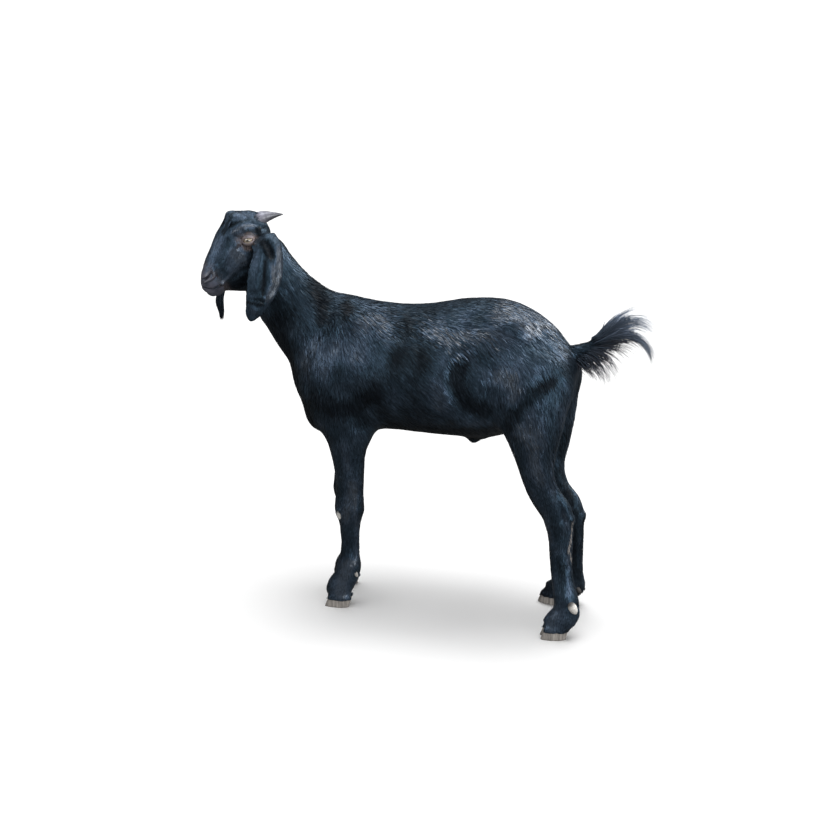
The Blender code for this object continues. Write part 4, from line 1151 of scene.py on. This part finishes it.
def coat_pieces(tufts, materials):
    """Part the tufts into pieces of the body, each with its own map, and build them."""
    head = in_head(tufts["root"])
    kind = body_parts(tufts, head)
    for name in sorted(set(kind)):
        index = np.nonzero(kind == name)[0]
        angle, along = unwrapped(name, tufts["root"][index], head[index])
        u = (angle / (2 * math.pi)) % 1.0
        v = (along - along.min()) / np.ptp(along)
        patch = in_map(np.stack([u, v], axis=1))
        parts = max(1, math.ceil(len(index) * TUFT_TRIANGLES / PIECE_TRIANGLES))
        order = np.argsort(along, kind="stable")
        for part, rows in enumerate(np.array_split(order, parts)):
            own = {key: values[index[rows]] for key, values in tufts.items()}
            paints = np.stack([own[key] for key in ("shades", "browns", "pales", "light_tones")], axis=1)
            paints = np.repeat(paints[:, None], 3, axis=1)
            paints[:, :, 0] += (-0.12, 0.0, 0.10)
            local = patch[rows].copy()
            rise = local[:, 1] - local[:, 1].min()
            local[:, 1] = in_map(rise / max(np.ptp(local[:, 1]), 1e-6))
            piece = blades("coat_%s_%d" % (name, part + 1), own["centres"], own["sides"],
                           own["outs"], own["widths"], own["heights"], np.clip(paints, 0.0, 1.0),
                           local, own["facing"])
            slot = "ear" if name.startswith("ear") else "coat"
            placed(piece, slot, materials[slot])


# ---------------------------------------------------------------- long hair
def bezier(controls, shares):
    """Points on cubic curves: controls (lock, 4, 3), shares (stations)."""
    t = shares[None, :, None]
    p0, p1, p2, p3 = (controls[:, k:k + 1] for k in range(4))
    return ((1 - t) ** 3 * p0 + 3 * (1 - t) ** 2 * t * p1 + 3 * (1 - t) * t * t * p2 + t ** 3 * p3)


def uneven(width, count, thickest=1.3):
    """Widths of so many locks, round one width."""
    return width * rng.uniform(0.6, thickest, count)


def locks(name, controls, width, shade, brown, stations=9, flat=0.45, wave=0.0, pale=0.0, sleek_and_sheen=0.8,
          over=None, roots=None):
    """Long tapering locks along curves. width, shade and brown are given for each lock.

    over is the direction away from the skin, for locks that lie flat on it. roots is where each
    lies on an unwrap of the skin; without it that is worked out for a flat bunch.
    """
    shares = np.linspace(0.0, 1.0, stations)
    centres = bezier(controls, shares)
    tangents = unit(np.gradient(centres, axis=1))
    reference = unit(rng.normal(size=(len(controls), 1, 3)) * 0.5 + np.array((0.0, 1.0, 0.0)))
    if over is not None:
        reference = over[:, None, :]
    sides = unit(np.cross(tangents, reference))
    outs = np.cross(sides, tangents)
    sides = np.cross(outs, tangents)
    if wave:
        phase = rng.uniform(0.0, 6.3, (len(controls), 1))
        swing = np.sin(phase + 9.0 * shares[None]) * shares[None] * wave
        centres = centres + sides * swing[..., None]
    taper = (np.minimum(1.0, 0.55 + 2.5 * shares) * (1.0 - shares ** 2.2))[None]
    widths = width[:, None] * taper
    paints = np.zeros((len(controls), stations, 4))
    paints[..., 0] = shade[:, None]
    paints[..., 1] = brown[:, None] * shares[None] ** 2
    paints[..., 2] = np.multiply.outer(np.zeros(len(controls)) + pale, shares ** 3)
    paints[..., 3] = (np.zeros(len(controls)) + sleek_and_sheen)[:, None]
    if roots is None:
        roots = centres[:, 2][:, [0, 2]]
    patch = in_map((roots - roots.min(axis=0)) / np.ptp(roots, axis=0))
    facing = None
    if over is not None:
        roll = rng.normal(0.0, 0.30, (len(controls), 1, 1))
        facing = unit(outs + sides * roll)
    return blades(name, centres, sides, outs, widths, widths * flat, np.clip(paints, 0, 1), patch,
                  facing)


# The tail's fan from its upper edge to its lower one: millimetres behind and above the corner of
# the tail's box, for the root, two points that guide the curve, and the tip
TAIL_FAN = [
    ((50, 84), (74, 108), (98, 146), (136, 164)),
    ((48, 82), (82, 112), (116, 166), (162, 150)),
    ((50, 80), (88, 108), (134, 162), (174, 108)),
    ((48, 76), (88, 100), (142, 136), (176, 78)),
    ((54, 76), (98, 100), (158, 112), (171, 44)),
    ((44, 70), (80, 84), (124, 92), (148, 60)),
    ((40, 64), (68, 70), (100, 66), (118, 36)),
    ((32, 58), (58, 58), (82, 42), (98, 8)),
    ((22, 50), (44, 48), (66, 26), (78, -4)),
    ((10, 44), (26, 40), (48, 22), (60, 4)),
    ((0, 38), (10, 30), (28, 20), (38, 12)),
]


def tail_controls(place):
    """The four points of locks at the given places across the fan, from 0 to 1."""
    fan = np.array(TAIL_FAN) / 1000.0
    position = place * (len(fan) - 1)
    low = np.clip(np.floor(position).astype(int), 0, len(fan) - 2)
    share = (position - low)[:, None, None]
    flat = fan[low] * (1 - share) + fan[low + 1] * share
    x = TAIL_LOW[0] + flat[..., 0]
    z = TAIL_LOW[2] + flat[..., 1]
    return np.stack([x, np.zeros_like(x), z], axis=2)


def build_tail(finish):
    """Tail hair: a dense body of short locks, then longer and finer ones that fan out."""
    hook = 4.0 / (len(TAIL_FAN) - 1)
    bunches = rng.random(34)
    for name, count, width, reach, spread, brown, stations in (
            ("tail_core", 560, 0.0034, (0.36, 0.70), 0.60, 0.05, 7),
            ("tail_locks", 320, 0.0015, (0.58, 0.90), 0.85, 0.55, 9),
            ("tail_strands", 620, 0.0008, (0.84, 1.10), 1.00, 1.00, 10)):
        place = rng.random(count)
        bunch = rng.integers(0, len(bunches), count)
        if name == "tail_strands":
            place = bunches[bunch] + rng.normal(0.0, 0.010, count)
        hooked = rng.random(count) < (0.16 if name != "tail_core" else 0.0)
        place[hooked] = hook + rng.normal(0.0, 0.010, hooked.sum())
        controls = tail_controls(np.clip(place, 0.0, 1.0))
        far = rng.uniform(*reach, count) * (1.0 - 0.12 * step(place, 0.30, 0.0))
        far[hooked] = rng.uniform(0.88, 1.02, hooked.sum())
        if name == "tail_strands":
            far = mix(far, rng.uniform(*reach, len(bunches))[bunch], 0.7)
            far *= 1.0 + 0.10 * step(place, 0.50, 0.80)
        controls = cut_short(controls, far)
        sway = rng.normal(0.0, 1.0, count)
        if name == "tail_strands":
            sway = 0.25 * sway + rng.normal(0.0, 0.9, len(bunches))[bunch]
        sideways = sway[:, None] * np.array((0.004, 0.007, 0.008, 0.009)) * spread
        controls[:, :, 1] += np.clip(sideways, -0.016, 0.016)
        jitter = rng.normal(0.0, 1.0, (count, 4, 3)) * np.array((0.002, 0.003, 0.004, 0.005))[:, None]
        jitter[:, :, 1] *= 0.3
        jitter[hooked] *= 0.45
        controls += jitter
        # The upper locks are painted paler, bluer and less brown: partly the real paleness of thin
        # wisps, partly a painted sheen.
        high = 1.0 - step(place, 0.25, 0.50)
        shade = np.clip(rng.normal(0.60, 0.20, count) + 0.45 * high, 0.0, 1.0)
        tint = np.full(count, brown) * rng.uniform(0.4, 1.0, count)
        tint[hooked] *= 0.3
        tint *= 1.0 - 0.85 * high
        piece = locks(name, controls, uneven(width, count), shade, tint, stations,
                      wave=0.0012, pale=0.10 + 0.50 * high, sleek_and_sheen=0.85)
        placed(piece, "long_hair", finish, *(("tail",) if name == "tail_core" else ()))


def cut_short(controls, far):
    """The first part of cubic curves, up to the share given for each."""
    t = far[:, None]
    a, b, c, d = (controls[:, k] for k in range(4))
    ab, bc, cd = mix(a, b, t), mix(b, c, t), mix(c, d, t)
    abc, bcd = mix(ab, bc, t), mix(bc, cd, t)
    return np.stack([a, ab, abc, mix(abc, bcd, t)], axis=1)


def build_beard(finish):
    """The narrow beard under the chin."""
    count = 220
    angle = rng.uniform(0.0, 2 * math.pi, count)
    spread = np.sqrt(rng.random(count))
    controls = np.zeros((count, 4, 3))
    for k, (forward, height, wide) in enumerate(
            ((0.104, -0.078, 0.0068), (0.116, -0.100, 0.0105), (0.105, -0.118, 0.0060),
             (0.107, -0.142, 0.0034))):
        centre = head_point(forward, height)
        controls[:, k] = centre + (HEAD_FORWARD * (np.cos(angle) * spread * wide)[:, None]
                                   + HEAD_LEFT * (np.sin(angle) * spread * wide * 0.8)[:, None])
    tip = rng.uniform(0.70, 1.0, count)[:, None]
    controls[:, 3] = mix(controls[:, 2], controls[:, 3], tip)
    piece = locks("beard_hair", controls, uneven(0.0017, count),
                  np.clip(rng.normal(0.40, 0.15, count), 0, 1), np.full(count, 0.05), wave=0.0010)
    placed(piece, "long_hair", finish, "beard")


def build_forelock(tree, finish):
    """Loose locks that fall from the crown over the forehead, in pale and dark bunches."""
    count, bunches = 420, 26
    bunch = rng.integers(0, bunches, count)
    lateral = np.linspace(-0.020, 0.024, bunches)[bunch] + rng.normal(0.0, 0.0010, count)
    start = rng.uniform(0.0, 1.0, bunches)[bunch]
    sway = rng.normal(0.0, 0.0035, bunches)[bunch]
    reach = rng.uniform(0.45, 1.0, bunches)[bunch] * rng.uniform(0.7, 1.0, count)
    controls = np.zeros((count, 4, 3))
    over = np.zeros((count, 3))
    for k, share in enumerate((0.0, 0.34, 0.67, 1.0)):
        fall = 0.9 * start * 0.25 + share * reach * 0.75
        forward = np.interp(fall, (0.0, 0.4, 1.0), (0.068, 0.092, 0.112))
        height = np.interp(fall, (0.0, 0.4, 1.0), (0.090, 0.074, 0.026))
        across = lateral * (1.0 + 0.35 * share) + sway * share ** 2
        for index in range(count):
            place = head_point(forward[index], height[index], across[index])
            found, normal = tree.find_nearest(Vector(place))[:2]
            lift = (0.0, 0.0022, 0.0020, 0.0010)[k]
            controls[index, k] = np.array(found) + np.array(normal) * lift
            over[index] += normal
    sleek_and_sheen = np.clip(rng.normal(0.42, 0.26, bunches), 0.08, 0.95)[bunch]
    piece = locks("forelock", controls, uneven(0.0013, count),
                  np.clip(0.1 + 0.8 * sleek_and_sheen, 0.0, 1.0), np.full(count, 0.03), stations=7, flat=0.25,
                  wave=0.0006, sleek_and_sheen=sleek_and_sheen, over=unit(over),
                  roots=np.stack([lateral, start + reach], axis=1))
    placed(piece, "coat", finish)


# ---------------------------------------------------------------- build the flesh and the hair
def finish_skin(surface, regions, normals, bare):
    """The skin as a piece, painted with its nose, bare skin, calluses and sleekness, where the
    sleekness carries painted highlight and painted shade.
    """
    crease = np.zeros(surface.count)
    head = one_side(regions.in_head) * FLATTER
    for points, radius in ((NOSTRIL, 3.4), (MOUTH, 2.4)):
        crease = np.maximum(crease, ridge(head, np.array(points) * FLATTER, radius, 1.0))
    nose = muzzle_share(regions) * (1.0 - crease)
    # Painted highlight and painted shade, with a stronger sheen on the bare skin and the nose.
    sleek_and_sheen = np.maximum(painted_light(surface.places, regions, normals), np.maximum(0.75 * bare, 0.50 * nose))
    mesh = mesh_of("skin", surface.places, surface.triangles)
    paint(mesh, "hair", np.stack([nose, bare, callus_share(surface.places, 0.0076), sleek_and_sheen], axis=1))
    placed(new_object("skin", mesh), "coat", skin_material(), *FLESH)


surface, regions, bare = build_skin()
normals = surface.normals()
regions = Regions(surface.places, regions.ear)
flow = lie_of_hair(surface.places, normals, regions)
finish_skin(surface, regions, normals, bare)
# The long hair's pale colour is bluish grey, partly a painted sheen.
MATERIALS = {"coat": coat_material("coat"), "ear": coat_material("ear", 0.42),
             "long": coat_material("long_hair", 0.36, 0.35, (0.25, 0.31, 0.42))}
coat_pieces(grow_coat(surface, regions, normals, flow, bare), MATERIALS)
skin_tree = BVHTree.FromPolygons(surface.places.tolist(), surface.triangles.tolist())
build_forelock(skin_tree, MATERIALS["coat"])
build_tail(MATERIALS["long"])
build_beard(MATERIALS["long"])


# ---------------------------------------------------------------- eyes, horns, hoofs
def eye_material():
    """Wet eyeball: pale amber iris with fine fibres and a level slit pupil."""
    made, tree, shader = material("eye", 0.12, 0.50)
    split = node(tree, "ShaderNodeSeparateXYZ")
    tree.links.new(own_places(tree), split.inputs[0])

    def maths(operation, first, second=None):
        made_node = node(tree, "ShaderNodeMath", operation=operation)
        for value, socket in ((first, made_node.inputs[0]), (second, made_node.inputs[1])):
            if isinstance(value, (int, float)):
                socket.default_value = value
            elif value is not None:
                tree.links.new(value, socket)
        return made_node.outputs[0]

    x, y = split.outputs["X"], split.outputs["Y"]
    radius = maths("SQRT", maths("ADD", maths("MULTIPLY", x, x), maths("MULTIPLY", y, y)))
    slit = maths("ADD", maths("POWER", maths("ABSOLUTE", maths("DIVIDE", x, 0.0044)), 4.0),
                 maths("POWER", maths("ABSOLUTE", maths("DIVIDE", y, 0.0017)), 2.5))
    fibres = noise(tree, own_places(tree), 900.0)
    iris = ramp(tree, fibres, [(0.3, (0.15, 0.125, 0.095)), (0.75, (0.27, 0.232, 0.18))])
    ring = ramp(tree, maths("DIVIDE", radius, EYE_RADIUS),
                [(0.50, (1.0, 1.0, 1.0)), (0.68, (0.45, 0.36, 0.26)), (0.82, (0.10, 0.07, 0.06))])
    coloured = blend(tree, 1.0, iris, ring, "MULTIPLY")
    pupil = ramp(tree, slit, [(0.85, (0.004, 0.004, 0.005)), (1.0, (1.0, 1.0, 1.0))])
    tree.links.new(blend(tree, 1.0, coloured, pupil, "MULTIPLY"), shader.inputs["Base Color"])
    shader.inputs["Coat Weight"].default_value = 0.6
    shader.inputs["Coat Roughness"].default_value = 0.09
    return made


def build_eye(side, sign, finish):
    """An eyeball with its cornea, turned to look sideways."""
    bm = bmesh.new()
    bmesh.ops.create_uvsphere(bm, u_segments=48, v_segments=32, radius=EYE_RADIUS)
    for vertex in bm.verts:
        off = math.hypot(vertex.co.x, vertex.co.y) / EYE_RADIUS
        if vertex.co.z > 0.0 and off < 0.75:
            vertex.co.z += 0.0011 * (1.0 - (off / 0.75) ** 2) ** 1.5
    mesh = from_bmesh("eye_" + side, bm)
    mesh.shade_smooth()
    ball = new_object("eyeball_" + side, mesh)
    out = Vector(eye_outward(sign))
    level = (Vector(HEAD_FORWARD) - out * out.dot(Vector(HEAD_FORWARD))).normalized()
    turn = Matrix((level, out.cross(level), out)).transposed().to_4x4()
    ball.matrix_world = Matrix.Translation(EYES[side]) @ turn
    placed(ball, "eye", finish, "eye_" + side)


def horn_material():
    """Grey horn, pale at the root and dark at the tip, painted paler on top and darker underneath as a
    painted highlight and painted shade, with fine streaks along it.
    """
    made, tree, shader = material("horn", 0.34, 0.50, (0.9, 0.95, 1.0))
    grain = noise(tree, own_places(tree), 600.0, 5.0)
    body = ramp(tree, painted_mean(tree), [
        (0.10, (0.27, 0.27, 0.33)), (0.40, (0.13, 0.13, 0.155)), (0.66, (0.065, 0.065, 0.076)),
        (0.95, (0.022, 0.022, 0.026))])
    streak = ramp(tree, grain, [(0.30, (0.75, 0.75, 0.76)), (0.70, (1.0, 1.0, 1.0))])
    tree.links.new(blend(tree, 1.0, body, streak, "MULTIPLY"), shader.inputs["Base Color"])
    roughen(tree, shader, grain, 0.25, 0.0005)
    return made


def hoof_material():
    """Pale horn with upright streaks and fine level rings."""
    made, tree, shader = material("hoof", 0.55, 0.35)
    streak = noise(tree, own_places(tree, (1.0, 1.0, 0.12)), 210.0, 4.0)
    colour = ramp(tree, streak, [(0.28, (0.09, 0.082, 0.076)), (0.50, (0.20, 0.185, 0.17)),
                                 (0.75, (0.30, 0.28, 0.255))])
    tree.links.new(colour, shader.inputs["Base Color"])
    rings = noise(tree, own_places(tree, (0.12, 0.12, 1.0)), 320.0)
    roughen(tree, shader, rings, 0.35, 0.0007)
    return made


# Along a horn: forward, height, lateral and thickness, in millimetres
HORN_ROWS = [
    (40, 52, 9.0, 8.0), (31, 63, 12.5, 12.0), (19, 71.5, 15.6, 13.0), (7, 75.4, 17.8, 10.6),
    (-5, 77.6, 19.6, 7.4), (-16, 78.6, 20.8, 4.0), (-26, 78.8, 21.4, 1.0)]
HORN_AROUND, DEWCLAW_AROUND = 28, 14  # corners of a ring


def horn_line(sign):
    """The middle line of a horn from its root to its tip, and the thickness there."""
    rows = np.array(HORN_ROWS) / 1000.0
    if sign < 0:
        rows[:, 0] = mix(rows[0, 0], rows[:, 0], 0.90)
        rows[:, 1] -= 0.0012
    fine = np.linspace(0, len(rows) - 1, 61)
    low = np.clip(fine.astype(int), 0, len(rows) - 2)
    eased = mix(rows[low], rows[low + 1], (fine - low)[:, None])
    for _ in range(6):
        eased[1:-1] = (eased[:-2] + 2 * eased[1:-1] + eased[2:]) / 4
    return np.array([head_point(f, h, sign * lateral) for f, h, lateral, _ in eased]), eased[:, 3]


def build_fringe(side, sign, finish):
    """Short hair that grows over the root of a horn and lies along it."""
    line, thick = horn_line(sign)
    tangent = unit(np.gradient(line, axis=0))
    across = unit(np.cross(UP, tangent))
    upright = np.cross(tangent, across)
    count = 340
    angle = rng.uniform(0.0, 2.0 * math.pi, count)
    start = rng.uniform(7.0, 12.0, count)
    end = start + rng.uniform(4.5, 9.5, count) * (1.0 + 0.30 * np.sin(angle))
    controls = np.zeros((count, 4, 3))
    for k, share in enumerate((0.0, 0.35, 0.7, 1.0)):
        row = mix(start, end, share)
        low = row.astype(int)
        part = (row - low)[:, None]
        reach = mix(thick[low], thick[low + 1], part[:, 0]) + (0.0004, 0.0011, 0.0010, 0.0004)[k]
        turned = angle + rng.normal(0.0, 0.03, count) * k
        controls[:, k] = mix(line[low], line[low + 1], part)
        controls[:, k] += across[low] * (0.86 * reach * np.cos(turned))[:, None]
        controls[:, k] += upright[low] * (reach * np.sin(turned))[:, None]
    over = unit(across[10] * np.cos(angle)[:, None] + upright[10] * np.sin(angle)[:, None])
    # The fringe is painted paler on its upper side: a painted highlight.
    piece = locks("fringe_" + side, controls, uneven(0.0013, count, 1.2),
                  np.clip(rng.normal(0.45, 0.15, count) + 0.25 * np.sin(angle), 0.0, 1.0),
                  np.full(count, 0.10), stations=5, flat=0.20,
                  sleek_and_sheen=np.clip(rng.normal(0.75, 0.2, count), 0.2, 1.0), over=over,
                  roots=np.stack([angle, start], axis=1))
    placed(piece, "coat", finish)


def build_horn(side, sign, finish):
    """A short ridged horn, laid back from the crown."""
    centres, thick = horn_line(sign)
    way = np.linspace(0.0, 1.0, len(centres))
    rings = 0.00022 * np.sin(2 * math.pi * 9 * way ** 0.8) * (1.0 - way) ** 0.7
    radii = [(0.86 * t + r, t + r) for t, r in zip(thick, rings)]
    mesh = loft("horn_" + side, centres, radii, HORN_AROUND)
    mesh.shade_smooth()
    middles, way, thick = (np.repeat(row, HORN_AROUND) for row in (centres[:, 2], way, thick))
    # Painted highlight and painted shade: the horn is painted paler on its upper side and darker
    # underneath.
    up = np.array([vertex.co.z for vertex in mesh.vertices]) - middles
    paint_grey(mesh, np.clip(way - 0.20 * up / thick, 0.0, 1.0))
    placed(new_object("ridged_horn_" + side, mesh), "horn", finish, "horn_" + side)


# Thickness and length of a dewclaw, how pale the tip is where it is pale, and for the swollen one
# its middle, thickness, length and paleness
DEWCLAW, PALE_DEWCLAWS = (0.0052, 0.019), {"dewclaw_fore_left_outer": 0.55}
SWOLLEN = {"dewclaw_hind_left_outer": (np.array((0.3395, -0.0965, 0.0755)), 0.0102, 0.029, 1.0)}


def dewclaw_material():
    """Dark dull horn, chalky towards the tip where it is painted so."""
    made, tree, shader = material("dewclaw", 0.60, 0.30)
    grain = noise(tree, own_places(tree), 500.0)
    dark = ramp(tree, grain, [(0.3, (0.016, 0.016, 0.018)), (0.7, (0.050, 0.047, 0.045))])
    pale = ramp(tree, grain, [(0.3, (0.30, 0.29, 0.27)), (0.7, (0.58, 0.56, 0.53))])
    tree.links.new(blend(tree, painted_mean(tree), dark, pale), shader.inputs["Base Color"])
    return made


def build_dewclaw(name, finish):
    """A small rounded claw behind the fetlock, pointing down and back."""
    middle = middle_of(name)
    thick, length = DEWCLAW
    pale = PALE_DEWCLAWS.get(name, 0.0)
    if name in SWOLLEN:
        middle, thick, length, pale = SWOLLEN[name]
    else:
        inset = 0.011 if name.startswith("dewclaw_fore_right") else 0.003
        middle = middle + UP * 0.001 - np.array((inset, 0.0, 0.0))
    axis = unit(np.array((0.50, 0.0, -0.87)))
    way = np.linspace(0.0, 1.0, 13)
    body = np.sqrt(np.clip(1.0 - (2.0 * way - 1.0) ** 2 * 0.985, 0.0, 1.0))
    body *= 1.0 - 0.22 * way
    centres = [middle + axis * length * (share - 0.5) for share in way]
    radii = [(thick * r * 0.9, thick * r) for r in body]
    mesh = loft(name + "_horn", centres, radii, DEWCLAW_AROUND)
    mesh.shade_smooth()
    paint_grey(mesh, np.repeat(pale * step(way, 0.10, 0.45), DEWCLAW_AROUND))
    placed(new_object("small_" + name, mesh), "dewclaw", finish, name)


def build_hoof(name, finish):
    """One hoof: the CAD claw with its flat faces rounded into each other, flat below."""
    piece = voxelled(new_object("wall_" + name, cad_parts[name].data.copy()), HOOF_VOXEL)
    mesh = piece.data
    mesh.materials.clear()
    places = np.array([vertex.co for vertex in mesh.vertices], dtype=float)
    edges = np.array([edge.vertices[:] for edge in mesh.edges])
    degree = np.bincount(edges.ravel(), minlength=len(places))[:, None]
    for amount in 10 * (0.5, -0.5):
        total = np.zeros_like(places)
        np.add.at(total, edges[:, 0], places[edges[:, 1]])
        np.add.at(total, edges[:, 1], places[edges[:, 0]])
        places += amount * (total / degree - places)
    places[:, 2] *= step(places[:, 2], *SOLE_EDGE)
    mesh.vertices.foreach_set("co", places.ravel())
    mesh.shade_smooth()
    placed(piece, "hoof", finish, name)


EYE, HORN, HOOF, DEWCLAW_HORN = eye_material(), horn_material(), hoof_material(), dewclaw_material()
for side, sign in SIDES:
    build_eye(side, sign, EYE)
for side, sign in SIDES:
    build_horn(side, sign, HORN)
    build_fringe(side, sign, MATERIALS["coat"])
for name in list(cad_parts):
    if name.startswith("dewclaw"):
        build_dewclaw(name, DEWCLAW_HORN)
    elif name.startswith("claw"):
        build_hoof(name, HOOF)


# ---------------------------------------------------------------- floor, light and camera
def build_floor():
    """A white floor that takes shadows and sends no light back to the model."""
    mesh = bpy.data.meshes.new("floor")
    reach = 60.0
    mesh.from_pydata([(-reach, -reach, 0), (reach, -reach, 0), (reach, reach, 0), (-reach, reach, 0)],
                     [], [(0, 1, 2, 3)])
    floor = new_object("floor", mesh)
    made, _, shader = material("floor", 0.9, 0.0)
    shader.inputs["Base Color"].default_value = (0.95, 0.95, 0.95, 1.0)
    mesh.materials.append(made)
    floor.visible_diffuse = False
    floor.visible_glossy = False
    return floor


def aimed(light, azimuth, elevation, distance, target):
    """Put a light round the target, in degrees from +X towards +Y and above level."""
    high, round_ = math.radians(elevation), math.radians(azimuth)
    source = Vector((math.cos(high) * math.cos(round_), math.cos(high) * math.sin(round_),
                     math.sin(high)))
    light.location = Vector(target) + source * distance
    light.rotation_euler = source.to_track_quat("Z", "Y").to_euler()
    bpy.context.scene.collection.objects.link(light)
    return light


def add_sun(name, azimuth, elevation, power, spread):
    """A very wide even light that reaches the whole floor."""
    data = bpy.data.lights.new(name, "SUN")
    data.energy = power
    data.angle = math.radians(spread)
    aimed(bpy.data.objects.new(name, data), azimuth, elevation, 3.0, (0.0, 0.0, 0.5))


def add_softbox(name, azimuth, elevation, size, brightness, colour=(1.0, 1.0, 1.0)):
    """A softbox that lights the model and leaves the floor alone."""
    data = bpy.data.lights.new(name, "AREA")
    data.shape = "RECTANGLE"
    data.size, data.size_y = size
    data.energy = brightness * math.pi * size[0] * size[1]
    data.color = colour
    light = aimed(bpy.data.objects.new(name, data), azimuth, elevation, 3.2, (0.0, 0.0, 0.5))
    light.light_linking.receiver_collection = NOT_THE_FLOOR


floor = build_floor()
NOT_THE_FLOOR = bpy.data.collections.new("not_the_floor")
NOT_THE_FLOOR.objects.link(floor)
NOT_THE_FLOOR.collection_objects[0].light_linking.link_state = "EXCLUDE"
add_sun("overhead", 60.0, 86.0, 3.45, 50.0)
add_softbox("right", -42.0, 14.0, (2.2, 1.6), 9.0)
add_softbox("rear", 24.0, 38.0, (1.8, 1.6), 16.0)
add_softbox("left", -128.0, 24.0, (1.6, 1.6), 5.5)


def build_world():
    """A white backdrop that the camera sees, and a dimmer even light for the model."""
    world = bpy.data.worlds.new("studio")
    world.use_nodes = True
    tree = world.node_tree
    dim = tree.nodes["Background"]
    dim.inputs["Color"].default_value = (1.0, 1.0, 1.0, 1.0)
    dim.inputs["Strength"].default_value = 0.20
    backdrop = node(tree, "ShaderNodeBackground")
    backdrop.inputs["Color"].default_value = (1.0, 1.0, 1.0, 1.0)
    seen = node(tree, "ShaderNodeLightPath")
    either = node(tree, "ShaderNodeMixShader")
    tree.links.new(seen.outputs["Is Camera Ray"], either.inputs[0])
    tree.links.new(dim.outputs[0], either.inputs[1])
    tree.links.new(backdrop.outputs[0], either.inputs[2])
    tree.links.new(either.outputs[0], tree.nodes["World Output"].inputs[0])
    bpy.context.scene.world = world
    bpy.context.scene.view_settings.view_transform = "Standard"


CAMERA_PLACE = (0.7838, -2.8875, 1.4012)
CAMERA_DOWN, CAMERA_TURN = 17.809, 15.748  # degrees below level, and to the left of +Y
SENSOR, LENS = 36.0, 64.433


def build_camera():
    """The camera that the model is seen with."""
    data = bpy.data.cameras.new("camera")
    data.sensor_width = SENSOR
    data.lens = LENS
    camera = bpy.data.objects.new("camera", data)
    bpy.context.scene.collection.objects.link(camera)
    camera.location = CAMERA_PLACE
    camera.rotation_euler = (math.radians(90.0 - CAMERA_DOWN), 0.0, math.radians(CAMERA_TURN))
    bpy.context.scene.camera = camera


build_world()
build_camera()
